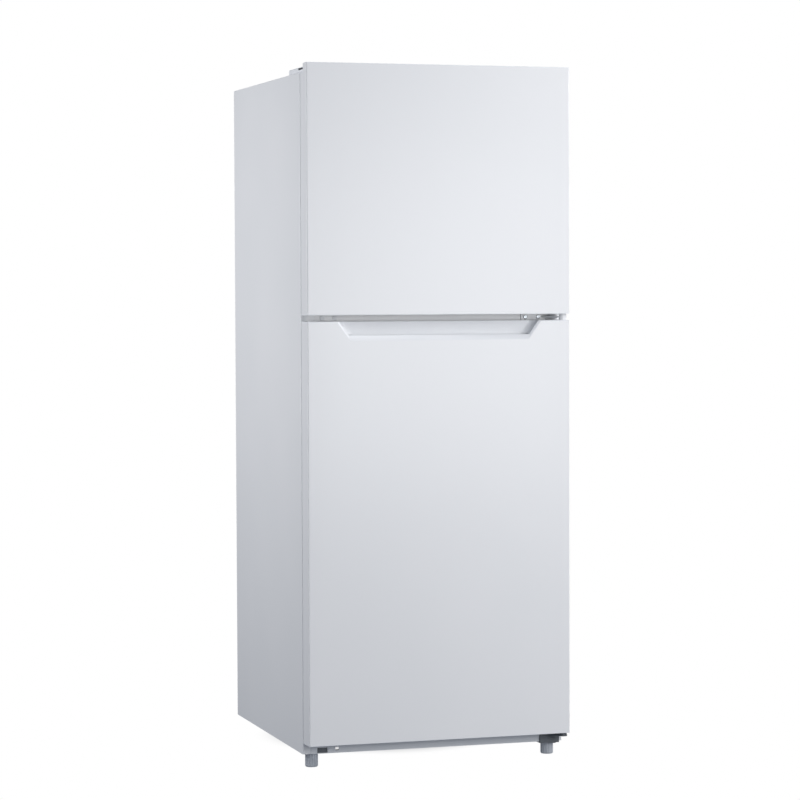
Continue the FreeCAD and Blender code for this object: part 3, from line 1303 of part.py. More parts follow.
def grip_hollow():
    """Space of the grip: a scooped recess with a finger groove behind its lip."""
    top = FRIDGE_DOOR_TOP + 2
    wide = GRIP_TOP - GRIP_SIDE_BEVEL + 2 * GRIP_SLOPE
    low_half = GRIP_INNER
    recess = prism(grip_outline(wide, low_half, top, GRIP_FLOOR, FACE - 1), (0, GRIP_RECESS + 1, 0))
    groove = prism(
        grip_outline(low_half + 1, low_half - 6, GRIP_FLOOR + 2, GRIP_FLOOR - GRIP_GROOVE, FACE + GRIP_LIP),
        (0, GRIP_RECESS - GRIP_LIP, 0),
    )
    back = FACE + GRIP_RECESS
    round_off = [
        e for e in recess.Edges
        if abs(e.CenterOfMass.y - back) < 0.1 and abs(e.CenterOfMass.x) > low_half - 5
    ]
    return recess.makeFillet(14.0, round_off).fuse(groove)


def grip_bevel():
    """Chamfer round the mouth of the grip."""
    top = FRIDGE_DOOR_TOP + 2
    wide = GRIP_TOP + 2 * GRIP_SLOPE
    front = grip_outline(wide, GRIP_BOTTOM, top, GRIP_LOW, FACE)
    depth = FACE + GRIP_BEVEL_DEPTH
    back = grip_outline(wide - GRIP_SIDE_BEVEL, GRIP_INNER, top, GRIP_FLOOR, depth)
    wires = [Part.makePolygon([V(*p) for p in loop + [loop[0]]]) for loop in (front, back)]
    return Part.makeLoft(wires, True, True)


def fridge_top_cap():
    """Top cap of the lower door with the moulded grip."""
    top = FRIDGE_DOOR_TOP
    plate = cap_plate(top - CAP, top)
    skirt = cap_skirt(top - SKIRT, top - CAP + 0.5)
    boss = bush(top - BUSH_DEPTH, top - CAP + 0.5)
    insert = grip_outer().common(box(-SIDE, SIDE, FACE, 0, 0, top))
    cap = join(plate, skirt, boss, insert)
    return cap.cut([grip_hollow(), grip_bevel(), pin_hole(top - PIN_REACH - 1, top + 1)])


def fridge_skin():
    """Steel front of the lower door, notched for the grip."""
    return door_skin(FRIDGE_DOOR_BOTTOM + CAP, FRIDGE_DOOR_TOP - CAP).cut(grip_outer(0.0))


def fridge_bottom_cap():
    """Bottom cap of the lower door with its hinge bush."""
    low = FRIDGE_DOOR_BOTTOM
    skirt = cap_skirt(low + CAP - 0.5, low + SKIRT)
    cap = join(cap_plate(low, low + CAP), skirt, bush(low + CAP - 0.5, low + BUSH_DEPTH))
    return cap.cut(pin_hole(low - 1, low + PIN_REACH + 1))


def door_foam(name, caps):
    """Insulation that fills a door, cut round its caps."""
    low, high, _, _, _ = door_spaces()[name]
    inset = SHEET
    core = box(-SIDE + inset, SIDE - inset, FACE + inset, RIM - SHEET, low + CAP, high - CAP)
    core = core.makeFillet(DOOR_CORNER, edges_along(core, Z_AXIS, lambda m: m.y < FACE + 2))
    bores = [bush(low, low + BUSH_DEPTH), bush(high - BUSH_DEPTH, high)]
    return core.fuse(door_form(name, LINER)).cut(caps + bores)


UNDER_GRIP_HALF = 200.0
UNDER_GRIP_FRONT = FACE + 5.0
UNDER_GRIP_BACK = FACE + 20.0
UNDER_GRIP_DEPTH = 18.0


def under_grip():
    """Space of the finger groove under the freezer door."""
    low, high = FREEZER_DOOR_BOTTOM - 1, FREEZER_DOOR_BOTTOM + UNDER_GRIP_DEPTH
    groove = box(-UNDER_GRIP_HALF, UNDER_GRIP_HALF, UNDER_GRIP_FRONT, UNDER_GRIP_BACK, low, high)
    return groove.makeFillet(4.0, edges_along(groove, X_AXIS, lambda m: m.z > high - 1))


def freezer_bottom_cap():
    """Bottom cap of the freezer door with a finger groove on its underside."""
    low = FREEZER_DOOR_BOTTOM
    box_half = UNDER_GRIP_HALF + GRIP_WALL
    shell = box(
        -box_half, box_half, UNDER_GRIP_FRONT - GRIP_WALL, UNDER_GRIP_BACK + GRIP_WALL,
        low, low + UNDER_GRIP_DEPTH + GRIP_WALL,
    )
    cap = join(
        cap_plate(low, low + CAP), cap_skirt(low + CAP - 0.5, low + SKIRT),
        bush(low + CAP - 0.5, low + BUSH_DEPTH), shell,
    )
    return cap.cut([under_grip(), pin_hole(low - 1, low + PIN_REACH + 1)])


RECESS_LENGTH = 72.0  # hinge recess along the top of the freezer door
RECESS_FRONT = FACE + SHEET + 1.2
FASCIA_BACK = FACE + FASCIA_DEPTH
CAP_FIT = 0.2  # moulded cap to the steel round it


def hinge_recess():
    """Corner of the freezer door's top that the hinge arm sweeps through."""
    return box(SIDE - RECESS_LENGTH, SIDE + 5, RECESS_FRONT, RIM + 40, TOP_DECK, HEIGHT + 5)


def fascia():
    """Raised front of the freezer door's top, hollow behind the steel."""
    top = HEIGHT
    plate = box(-SIDE, SIDE, FACE, FASCIA_BACK, top - CAP, top)
    plate = plate.makeFillet(DOOR_CORNER, edges_along(plate, Z_AXIS, lambda m: m.y < FACE + 1))
    plate = plate.makeFillet(1.5, [e for e in plate.Edges if e.CenterOfMass.z > top - 0.1])
    inset = SHEET + CAP_FIT
    body = box(-SIDE + inset, SIDE - inset, FACE + inset, FASCIA_BACK, TOP_DECK - CAP, top - CAP + 0.5)
    body = body.makeFillet(DOOR_CORNER - inset, edges_along(body, Z_AXIS, lambda m: m.y < FACE + 3))
    wall = inset + CAP
    right = SIDE - RECESS_LENGTH - CAP
    hollow = box(-SIDE + wall, right, FACE + wall, FASCIA_BACK - CAP, TOP_DECK, top - CAP)
    return plate.fuse(body).cut([hollow, hinge_recess()])


def freezer_top_cap():
    """Top cap of the freezer door: a deck behind a raised fascia, with the hinge recess."""
    deck = box(-SIDE, SIDE, FASCIA_BACK - 1, RIM + LINER, TOP_DECK - CAP, TOP_DECK)
    deck = deck.cut(box(-SIDE - 1, SHEET + CAP_FIT - SIDE, FACE, FASCIA_BACK, 0, HEIGHT))
    deck = deck.cut(box(SIDE - SHEET - CAP_FIT, SIDE + 1, FACE, FASCIA_BACK, 0, HEIGHT))
    boss = bush(TOP_DECK - BUSH_DEPTH, TOP_DECK - CAP + 0.5)
    return join(fascia(), deck, boss).cut(pin_hole(TOP_DECK - PIN_REACH - 1, TOP_DECK + 1))


def freezer_skin():
    """Steel front of the freezer door, cut down behind the fascia and at the hinge corner."""
    skin = door_skin(FREEZER_DOOR_BOTTOM + CAP, HEIGHT - CAP)
    behind = box(-SIDE - 1, SIDE + 1, FASCIA_BACK, RIM + 5, TOP_DECK - CAP, HEIGHT + 5)
    corner = box(SIDE - RECESS_LENGTH, SIDE + 5, RECESS_FRONT, RIM + 5, TOP_DECK, HEIGHT + 5)
    return skin.cut([behind, corner])


# ---------------------------------------------------------------- build
def build():
    """Every node by name."""
    made = {
        "outer_case": outer_case(),
        "rear_panel": rear_panel(),
        "wall_stand_offs": wall_stand_offs(),
        "bottom_panel": bottom_panel(),
        "cabinet_foam": cabinet_foam(),
        "freezer_liner": freezer_liner(),
        "fridge_liner": fridge_liner(),
        "middle_strip": middle_strip(),
        "hinge_hole_plugs": hole_plugs(),
        "condenser_coils": condenser_coils(),
        "front_rail": front_rail(),
        "foot_brackets": foot_brackets(),
        "front_foot_left": foot(-1),
        "front_foot_right": foot(1),
        "base_tray": base_tray(),
        "rear_roller_left": roller(-1),
        "rear_roller_right": roller(1),
        "compressor": compressor(),
        "compressor_grommets": compressor_grommets(),
        "compressor_bolts": compressor_bolts(),
        "terminal_box": terminal_box(),
        "drain_pan": drain_pan(),
        "drain_tube": drain_tube(),
        "refrigerant_tubes": refrigerant_tubes(),
        "filter_drier": filter_drier(),
        "cord_gland": cord_gland(),
        "evaporator": evaporator(),
        "fan_motor": fan_motor(),
        "fan_blade": fan_blade(),
        "freezer_air_cover": freezer_air_cover(),
        "airflow_slider": airflow_slider(),
        "freezer_shelf": freezer_shelf(),
        "glass_shelves": glass_shelves(),
        "shelf_trims": shelf_trims(),
        "crisper_left": crisper(-1),
        "crisper_right": crisper(1),
        "air_duct_cover": air_duct_cover(),
        "control_box": control_box(),
        "lamp_lens": lamp_lens(),
        "thermostat_knob": thermostat_knob(),
        "top_hinge": top_hinge(),
        "top_hinge_cover": top_hinge_cover(),
        "top_left_cap": top_left_cap(),
        "middle_hinge": middle_hinge(),
        "bottom_hinge": bottom_hinge(),
        "hinge_screws": hinge_screws(),
    }
    made["fridge_door_skin"] = fridge_skin()
    made["fridge_door_top_cap"] = fridge_top_cap()
    made["fridge_door_bottom_cap"] = fridge_bottom_cap()
    caps = [made["fridge_door_top_cap"], made["fridge_door_bottom_cap"], grip_outer(0.0)]
    made["fridge_door_foam"] = door_foam("fridge", caps)
    made["fridge_door_liner"] = door_liner("fridge")
    made["fridge_door_gasket"] = gasket("fridge")
    made["fridge_door_bins"] = group(door_bin("fridge", k) for k in range(3))
    made["freezer_door_skin"] = freezer_skin()
    made["freezer_door_top_cap"] = freezer_top_cap()
    made["freezer_door_bottom_cap"] = freezer_bottom_cap()
    caps = [made["freezer_door_top_cap"], made["freezer_door_bottom_cap"], under_grip()]
    made["freezer_door_foam"] = door_foam("freezer", caps)
    made["freezer_door_liner"] = door_liner("freezer")
    made["freezer_door_gasket"] = gasket("freezer")
    made["freezer_door_bins"] = group(door_bin("freezer", k) for k in range(2))
    return made


def main():
    """Writes one STEP file for each node."""
    os.makedirs("parts", exist_ok=True)
    nodes = build()
    for name, shape in nodes.items():
        shape.exportStep("parts/" + name + ".step")
    print(len(nodes), "nodes")


main()
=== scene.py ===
# %% [markdown]
# # A white top freezer refrigerator
#
# A refrigerator of this kind is a folded, painted steel case round two plastic rooms, with two
# doors hung on the right. The measured design comes first as a fixed frame: every steel sheet,
# liner, hinge and drawer already has its size and place. This lesson gives those parts their
# finishes, and makes in Blender what repeats or what is soft: the door seals, the feet, the wire
# shelf, the flutes, the screws of the back, the marks round the dial and the weld.

# %% Load the frame
import math

import bmesh
import bpy
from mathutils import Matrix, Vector


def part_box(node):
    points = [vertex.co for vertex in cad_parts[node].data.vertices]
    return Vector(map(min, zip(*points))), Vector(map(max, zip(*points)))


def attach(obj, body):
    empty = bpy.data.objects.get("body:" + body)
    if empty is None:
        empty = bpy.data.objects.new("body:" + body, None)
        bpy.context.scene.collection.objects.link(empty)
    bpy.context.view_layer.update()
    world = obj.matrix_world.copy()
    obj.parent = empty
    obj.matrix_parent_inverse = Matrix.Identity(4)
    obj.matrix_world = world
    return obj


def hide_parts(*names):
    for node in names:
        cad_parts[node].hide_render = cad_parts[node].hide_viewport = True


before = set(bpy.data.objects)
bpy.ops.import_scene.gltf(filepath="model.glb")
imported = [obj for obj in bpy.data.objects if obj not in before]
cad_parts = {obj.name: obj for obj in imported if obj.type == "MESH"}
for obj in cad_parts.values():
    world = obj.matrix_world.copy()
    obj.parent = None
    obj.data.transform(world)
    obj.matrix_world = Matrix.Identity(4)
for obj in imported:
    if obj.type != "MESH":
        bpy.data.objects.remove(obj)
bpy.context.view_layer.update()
MM = 0.001
CASE_LOW, CASE_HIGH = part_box("outer_case")

# %% [markdown]
# ## The camera
#
# The camera stands to the left of the doors, a little above the middle of the cabinet, about six
# metres away with a long lens, so the upright edges stay nearly parallel. It is set by where it
# stands and by three angles: how far it looks to the right, how far down, and a slight tilt.

# %% Camera
CAMERA_PLACE = Vector((-1.8399, -5.9899, 1.0418))
LOOK_RIGHT = math.radians(17.167)
LOOK_DOWN = math.radians(2.378)
TILT = math.radians(-0.214)
LENS = 124.04  # millimetres, on a sensor as wide as the next line says
SENSOR_WIDTH = 36.0
FAR_CLIP = 200.0


def make_camera():
    """A long lens to the left of the doors."""
    data = bpy.data.cameras.new("camera")
    data.lens = LENS
    data.sensor_width = SENSOR_WIDTH
    data.clip_end = FAR_CLIP
    camera = bpy.data.objects.new("camera", data)
    bpy.context.scene.collection.objects.link(camera)
    ahead = Vector((
        math.sin(LOOK_RIGHT) * math.cos(LOOK_DOWN),
        math.cos(LOOK_RIGHT) * math.cos(LOOK_DOWN),
        -math.sin(LOOK_DOWN),
    ))
    level = Vector((math.cos(LOOK_RIGHT), -math.sin(LOOK_RIGHT), 0.0))
    upright = level.cross(ahead)
    right = level * math.cos(TILT) + upright * math.sin(TILT)
    up = upright * math.cos(TILT) - level * math.sin(TILT)
    turn = camera.matrix_world.copy()
    for row in range(3):
        turn[row][0], turn[row][1], turn[row][2] = right[row], up[row], -ahead[row]
        turn[row][3] = CAMERA_PLACE[row]
    camera.matrix_world = turn
    bpy.context.scene.camera = camera


make_camera()
print("camera:", round(CAMERA_PLACE.length, 2), "m from the origin")

# %% [markdown]
# ## Helpers
#
# Node trees are built in the script. One function adds a node, sets its options and joins or fills
# its sockets, for materials and for Geometry Nodes alike. Colours are written as the hex values a
# screen shows, and one function turns them to the linear numbers that light needs.


# %% Node and colour helpers
def add(tree, kind, sockets=None, **settings):
    """Adds a node, sets its options, and links or fills the sockets named."""
    made = tree.nodes.new(kind)
    for name, value in settings.items():
        setattr(made, name, value)
    for name, value in (sockets or {}).items():
        if isinstance(value, bpy.types.NodeSocket):
            tree.links.new(value, made.inputs[name])
        else:
            made.inputs[name].default_value = value
    return made


def linear(code):
    """A hex colour such as "#f2f4f5" as linear red, green, blue and alpha."""
    shown = [int(code[i:i + 2], 16) / 255.0 for i in (1, 3, 5)]
    # the sRGB curve: a straight line near black and a power above it
    light = [p / 12.92 if p <= 0.04045 else ((p + 0.055) / 1.055) ** 2.4 for p in shown]
    return (*light, 1.0)


def per_metre(millimetres):
    """The Scale of a texture whose features are this many millimetres across."""
    return 1.0 / (millimetres * MM)


def new_material(name):
    """A material with one Principled shader; gives the material, its tree, shader and place."""
    material = bpy.data.materials.new(name)
    material.use_nodes = True
    tree = material.node_tree
    tree.nodes.clear()
    shader = add(tree, "ShaderNodeBsdfPrincipled")
    add(tree, "ShaderNodeOutputMaterial", {"Surface": shader.outputs["BSDF"]})
    place = add(tree, "ShaderNodeTexCoord").outputs["Object"]
    return material, tree, shader, place


def between(tree, factor, low, high):
    """A factor from 0 to 1 moved to the range from low to high."""
    sockets = {"Value": factor, "To Min": low, "To Max": high}
    return add(tree, "ShaderNodeMapRange", sockets).outputs["Result"]


def two_tone(tree, factor, first, second):
    """A colour between two hex colours."""
    mix = add(tree, "ShaderNodeMix", data_type="RGBA")
    tree.links.new(factor, mix.inputs[0])
    mix.inputs[6].default_value = linear(first)
    mix.inputs[7].default_value = linear(second)
    return mix.outputs[2]


def bump(tree, shader, height, depth_mm, strength):
    """Raises the surface by a height from 0 to 1 times a depth in millimetres."""
    sockets = {"Height": height, "Distance": depth_mm * MM, "Strength": strength}
    made = add(tree, "ShaderNodeBump", sockets)
    tree.links.new(made.outputs["Normal"], shader.inputs["Normal"])


def noise(tree, place, size_mm, detail):
    """Noise from 0 to 1 with features this many millimetres across."""
    sockets = {"Vector": place, "Scale": per_metre(size_mm), "Detail": detail}
    return add(tree, "ShaderNodeTexNoise", sockets).outputs["Fac"]


def tint(tree, shader, factor, first, second):
    """Colours a surface between two hex colours."""
    tree.links.new(two_tone(tree, factor, first, second), shader.inputs["Base Color"])


def roughen(tree, shader, factor, low, high):
    """Spreads the roughness of a surface between two values."""
    tree.links.new(between(tree, factor, low, high), shader.inputs["Roughness"])


print("helpers ready")

# %% [markdown]
# ## Painted and coated steel
#
# The case and the door fronts are coil-coated steel: sheet that is painted and baked before it is
# folded. The paint dries with a faint orange peel, a few hundredths of a millimetre deep and two to
# three millimetres across, which softens the edge of every reflection. The tint is a cool white.
# A noise bump gives the peel, and a second, slow noise keeps the gloss from being the same all
# over.


# %% Steel finishes
def coated_steel():
    """Coil-coated white steel: cool white, satin gloss, faint orange peel."""
    material, tree, shader, place = new_material("coil_coated_steel")
    slow = noise(tree, place, 220, 1.0)
    peel = noise(tree, place, 2.6, 1.0)
    tint(tree, shader, slow, "#eeeff0", "#f2f2f3")
    roughen(tree, shader, slow, 0.30, 0.38)
    shader.inputs["Coat Weight"].default_value = 0.12
    shader.inputs["Coat Roughness"].default_value = 0.18
    bump(tree, shader, peel, 0.02, 0.35)
    return material


def painted_trim_steel():
    """Spray-painted grey steel of the front rail and the top hinge."""
    material, tree, shader, place = new_material("spray_painted_trim_steel")
    speck = noise(tree, place, 1.4, 3.0)
    slow = noise(tree, place, 60, 2.0)
    tint(tree, shader, slow, "#e0e3e6", "#eceef0")
    roughen(tree, shader, speck, 0.38, 0.52)
    bump(tree, shader, speck, 0.03, 0.5)
    return material


def phosphated_steel():
    """Thick hinge steel, phosphated dark grey: nearly matt, with a fine crystal grain."""
    material, tree, shader, place = new_material("phosphated_hinge_steel")
    grain = noise(tree, place, 0.8, 4.0)
    worn = noise(tree, place, 14, 5.0)
    tint(tree, shader, worn, "#5a5e62", "#7b7f83")
    shader.inputs["Metallic"].default_value = 0.55
    roughen(tree, shader, grain, 0.42, 0.62)
    bump(tree, shader, grain, 0.04, 0.6)
    return material


def galvanised_steel():
    """Hot-dip galvanised sheet: bright zinc with leaf-shaped spangle about 9 mm across."""
    material, tree, shader, place = new_material("hot_dip_galvanised_steel")
    sockets = {"Vector": place, "Scale": per_metre(9), "Randomness": 1.0}
    spangle = add(tree, "ShaderNodeTexVoronoi", sockets)
    split = add(tree, "ShaderNodeSeparateColor", {"Color": spangle.outputs["Color"]})
    streak = noise(tree, place, 1.6, 3.0)
    tint(tree, shader, split.outputs["Red"], "#c6cacd", "#d9dcde")
    shader.inputs["Metallic"].default_value = 0.75
    roughen(tree, shader, split.outputs["Green"], 0.34, 0.55)
    bump(tree, shader, streak, 0.02, 0.4)
    return material


def plated_steel():
    """Zinc-plated fasteners: blue-white plating, lightly scuffed by the driver."""
    material, tree, shader, place = new_material("zinc_plated_fasteners")
    scuff = noise(tree, place, 0.9, 4.0)
    tint(tree, shader, scuff, "#8f9498", "#b4b9bd")
    shader.inputs["Metallic"].default_value = 1.0
    roughen(tree, shader, scuff, 0.22, 0.45)
    bump(tree, shader, scuff, 0.02, 0.5)
    return material


def black_enamel():
    """Dipped black enamel on the compressor can: thick, glossy, a little wavy."""
    material, tree, shader, place = new_material("black_dipped_enamel")
    wave = noise(tree, place, 5, 2.0)
    dust = noise(tree, place, 40, 5.0)
    tint(tree, shader, dust, "#101112", "#242526")
    roughen(tree, shader, dust, 0.22, 0.46)
    bump(tree, shader, wave, 0.08, 0.5)
    return material


print("steel finishes ready")

# %% [markdown]
# ## Plastics and rubber
#
# Five plastics do most of the work. The door caps and covers are ABS from a finely eroded mould,
# which gives a soft, even grain. The liners are polystyrene sheet drawn over a mould by vacuum, so
# they are glossy and very slightly wavy. The crispers and bins are clear polystyrene. The seals are
# soft PVC, and the feet are filled polypropylene. Each gets the grain of its own mould.


# %% Plastic and rubber finishes
def moulded(name, dark, light, grain_mm, rough, depth_mm):
    """A moulded plastic: two close tones, and the grain its mould leaves."""
    material, tree, shader, place = new_material(name)
    grain = noise(tree, place, grain_mm, 2.0)
    slow = noise(tree, place, 70, 2.0)
    tint(tree, shader, slow, dark, light)
    roughen(tree, shader, slow, rough - 0.05, rough + 0.05)
    bump(tree, shader, grain, depth_mm, 0.5)
    return material


def clear_plastic():
    """Clear polystyrene of crispers and bins: see-through with a breath of haze."""
    material, tree, shader, place = new_material("clear_moulded_polystyrene")
    haze = noise(tree, place, 45, 3.0)
    tint(tree, shader, haze, "#f3f9fb", "#fafdfd")
    roughen(tree, shader, haze, 0.05, 0.16)
    shader.inputs["Transmission Weight"].default_value = 0.94
    shader.inputs["IOR"].default_value = 1.45
    return material


def shelf_glass():
    """Toughened soda-lime glass: faintly green, with the slow ripple that toughening leaves."""
    material, tree, shader, place = new_material("toughened_shelf_glass")
    ripple = noise(tree, place, 60, 1.0)
    tint(tree, shader, ripple, "#e8f6f0", "#f0faf6")
    roughen(tree, shader, ripple, 0.0, 0.04)
    shader.inputs["Transmission Weight"].default_value = 0.95
    shader.inputs["IOR"].default_value = 1.45
    bump(tree, shader, ripple, 0.05, 0.3)
    return material


def foamed_insulation():
    """Sprayed polyurethane foam: pale yellow with closed cells."""
    material, tree, shader, place = new_material("polyurethane_foam")
    cells = add(tree, "ShaderNodeTexVoronoi", {"Vector": place, "Scale": per_metre(1.6)})
    tint(tree, shader, cells.outputs["Distance"], "#d9c48c", "#f0e2b4")
    shader.inputs["Roughness"].default_value = 0.9
    bump(tree, shader, cells.outputs["Distance"], 0.4, 0.7)
    return material


print("plastic finishes ready")

# %% [markdown]
# ## Bare metals
#
# The cooling circuit is drawn copper tube that darkens where it was brazed and handled, and the
# evaporator is rolled aluminium with fine streaks along the rolling direction.


# %% Copper and aluminium
def drawn_copper():
    """Drawn copper tube, dulled in patches by brazing and handling."""
    material, tree, shader, place = new_material("drawn_copper_tube")
    tarnish = noise(tree, place, 18, 5.0)
    tint(tree, shader, tarnish, "#8e5236", "#cf8a66")
    shader.inputs["Metallic"].default_value = 1.0
    roughen(tree, shader, tarnish, 0.5, 0.22)
    return material


def rolled_aluminium():
    """Rolled aluminium fins and tube, streaked across the fins."""
    material, tree, shader, place = new_material("rolled_aluminium")
    stretched = add(tree, "ShaderNodeMapping", {"Vector": place, "Scale": (1.0, 1.0, 12.0)})
    streak = noise(tree, stretched.outputs["Vector"], 8, 2.0)
    tint(tree, shader, streak, "#b5b8ba", "#d6d8d9")
    shader.inputs["Metallic"].default_value = 1.0
    roughen(tree, shader, streak, 0.3, 0.5)
    return material


FINISH = {
    "coated": coated_steel(),
    "trim_steel": painted_trim_steel(),
    "hinge_steel": phosphated_steel(),
    "galvanised": galvanised_steel(),
    "plated": plated_steel(),
    "enamel": black_enamel(),
    "abs": moulded("eroded_white_abs", "#e9ebee", "#eff0f2", 0.7, 0.40, 0.02),
    "liner": moulded("vacuum_formed_polystyrene", "#ebeff2", "#f2f5f7", 24.0, 0.24, 0.05),
    "seal": moulded("soft_pvc_seal", "#d3d7d9", "#dfe2e3", 1.2, 0.55, 0.02),
    "foot": moulded("filled_polypropylene_grey", "#c0c5cb", "#cfd3d8", 0.8, 0.48, 0.03),
    "roller": moulded("acetal_roller_black", "#26282a", "#333537", 0.8, 0.35, 0.02),
    "black": moulded("black_polypropylene", "#1b1c1e", "#2a2b2d", 0.9, 0.45, 0.03),
    "rubber": moulded("black_epdm_rubber", "#18191a", "#242526", 0.6, 0.75, 0.03),
    "wire": moulded("white_epoxy_wire_coating", "#eceeef", "#f4f5f5", 1.5, 0.28, 0.02),
    "clear": clear_plastic(),
    "glass": shelf_glass(),
    "foam": foamed_insulation(),
    "copper": drawn_copper(),
    "aluminium": rolled_aluminium(),
}
print("finishes:", len(FINISH))

# %% [markdown]
# ## Finishes on the measured parts
#
# Each measured part keeps its shape and gets the finish of its real material. Its mesh comes as
# loose triangles, so a small Geometry Nodes tree welds them for show and decides which edges stay
# crisp: edges that turn by more than a set angle are folds, and the rest are parts of one curve.


# %% Smoothing tree for measured parts
CREASE = math.radians(32.0)
SAME_PLACE = 0.00001  # corners nearer than this are one corner


def soft_edges_tree():
    """Welds the triangles and shades every edge below the crease angle smooth."""
    tree = bpy.data.node_groups.new("soft_edges", "GeometryNodeTree")
    tree.interface.new_socket("Geometry", in_out="INPUT", socket_type="NodeSocketGeometry")
    limit = tree.interface.new_socket(
        "Crease angle", in_out="INPUT", socket_type="NodeSocketFloat")
    limit.default_value = CREASE
    tree.interface.new_socket("Geometry", in_out="OUTPUT", socket_type="NodeSocketGeometry")
    source = add(tree, "NodeGroupInput")
    crease = source.outputs["Crease angle"]
    welded = add(tree, "GeometryNodeMergeByDistance", {
        "Geometry": source.outputs[0], "Distance": SAME_PLACE,
    })
    faces = add(tree, "GeometryNodeSetShadeSmooth", {
        "Geometry": welded.outputs[0], "Shade Smooth": True,
    }, domain="FACE")
    angle = add(tree, "GeometryNodeInputMeshEdgeAngle").outputs["Unsigned Angle"]
    sharp = add(tree, "FunctionNodeCompare", {0: angle, 1: crease},
                data_type="FLOAT", operation="GREATER_THAN")
    edges = add(tree, "GeometryNodeSetShadeSmooth", {
        "Geometry": faces.outputs[0], "Selection": sharp.outputs[0], "Shade Smooth": False,
    }, domain="EDGE")
    add(tree, "NodeGroupOutput", {0: edges.outputs[0]})
    return tree


SOFT_EDGES = soft_edges_tree()
WEARS = {
    "coated": [
        "outer_case", "fridge_door_skin", "freezer_door_skin", "middle_strip", "middle_hinge",
    ],
    "trim_steel": ["front_rail", "top_hinge"],
    "hinge_steel": ["bottom_hinge", "foot_brackets"],
    "galvanised": ["rear_panel", "bottom_panel", "base_tray"],
    "plated": ["hinge_screws", "compressor_bolts"],
    "enamel": ["compressor", "condenser_coils"],
    "abs": [
        "fridge_door_top_cap", "fridge_door_bottom_cap", "freezer_door_top_cap",
        "freezer_door_bottom_cap", "top_hinge_cover", "top_left_cap", "hinge_hole_plugs",
        "air_duct_cover", "freezer_air_cover", "control_box", "thermostat_knob", "airflow_slider",
        "shelf_trims", "fan_blade",
    ],
    "liner": ["freezer_liner", "fridge_liner", "freezer_door_liner", "fridge_door_liner"],
    "seal": ["freezer_door_gasket", "fridge_door_gasket"],
    "foot": ["front_foot_left", "front_foot_right"],
    "roller": ["rear_roller_left", "rear_roller_right"],
    "black": [
        "terminal_box", "drain_pan", "drain_tube", "cord_gland", "wall_stand_offs", "fan_motor",
    ],
    "rubber": ["compressor_grommets"],
    "wire": ["freezer_shelf"],
    "clear": [
        "crisper_left", "crisper_right", "fridge_door_bins", "freezer_door_bins", "lamp_lens",
    ],
    "glass": ["glass_shelves"],
    "foam": ["cabinet_foam", "fridge_door_foam", "freezer_door_foam"],
    "copper": ["refrigerant_tubes", "filter_drier"],
    "aluminium": ["evaporator"],
}


def dress(name, material):
    """Gives a measured part its finish and its smooth shading."""
    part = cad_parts[name]
    part.data.materials.clear()
    part.data.materials.append(material)
    soften = part.modifiers.new("soft_edges", "NODES")
    soften.node_group = SOFT_EDGES


for finish, names in WEARS.items():
    for name in names:
        dress(name, FINISH[finish])
unfinished = sorted(set(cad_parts) - {name for names in WEARS.values() for name in names})
print("dressed all but:", unfinished)

# %% [markdown]
# ## Making pieces
#
# A piece made with Geometry Nodes starts as an empty mesh object with the tree as its modifier.
# Its inputs are set by the socket's identifier, and the evaluated result is turned into a plain
# mesh, so that what is handed on has no live tree left.


# %% Piece helpers
def new_object(name, mesh):
    """Links a mesh as an object at the origin."""
    made = bpy.data.objects.new(name, mesh)
    bpy.context.scene.collection.objects.link(made)
    return made


def new_tree(name, inputs):
    """A Geometry Nodes tree with named number inputs, and its group input node."""
    tree = bpy.data.node_groups.new(name, "GeometryNodeTree")
    for label, kind in inputs:
        tree.interface.new_socket(label, in_out="INPUT", socket_type=kind)
    tree.interface.new_socket("Geometry", in_out="OUTPUT", socket_type="NodeSocketGeometry")
    return tree, add(tree, "NodeGroupInput")


def end_tree(tree, geometry, material):
    """Realizes the instances and sets the material at the end of a tree."""
    real = add(tree, "GeometryNodeRealizeInstances", {"Geometry": geometry})
    sockets = {"Geometry": real.outputs[0], "Material": material}
    painted = add(tree, "GeometryNodeSetMaterial", sockets)
    add(tree, "NodeGroupOutput", {0: painted.outputs[0]})


def grow(name, tree, values, body, replaces=()):
    """Runs a tree with these inputs, keeps the plain mesh, and lets it ride on a body."""
    holder = new_object(name + "_maker", bpy.data.meshes.new(name + "_maker"))
    maker = holder.modifiers.new("maker", "NODES")
    maker.node_group = tree
    for item in tree.interface.items_tree:
        if item.in_out == "INPUT" and item.name in values:
            maker[item.identifier] = values[item.name]
    ready = holder.evaluated_get(bpy.context.evaluated_depsgraph_get())
    mesh = bpy.data.meshes.new_from_object(ready)
    mesh.name = name
    bpy.data.objects.remove(holder)
    piece = new_object(name, mesh)
    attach(piece, body)
    if replaces:
        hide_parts(*replaces)
    print(name + ":", len(mesh.polygons), "faces")


FLOAT, INT, VECTOR = "NodeSocketFloat", "NodeSocketInt", "NodeSocketVector"


def vector(tree, x=0.0, y=0.0, z=0.0):
    """A vector from three sockets or numbers."""
    return add(tree, "ShaderNodeCombineXYZ", {"X": x, "Y": y, "Z": z}).outputs["Vector"]


def math_of(tree, operation, first, second):
    """One arithmetic step on two sockets or numbers."""
    return add(tree, "ShaderNodeMath", {0: first, 1: second}, operation=operation).outputs[0]


def joined(tree, parts):
    """Several geometries as one."""
    made = add(tree, "GeometryNodeJoinGeometry")
    for part in parts:
        tree.links.new(part, made.inputs[0])
    return made.outputs[0]


def scaled(tree, place, factor):
    """A vector times a number."""
    sockets = {0: place, "Scale": factor}
    return add(tree, "ShaderNodeVectorMath", sockets, operation="SCALE").outputs[0]


def shifted(tree, geometry, offset):
    """A geometry whose points are each moved by an offset."""
    sockets = {"Geometry": geometry, "Offset": offset}
    return add(tree, "GeometryNodeSetPosition", sockets).outputs[0]


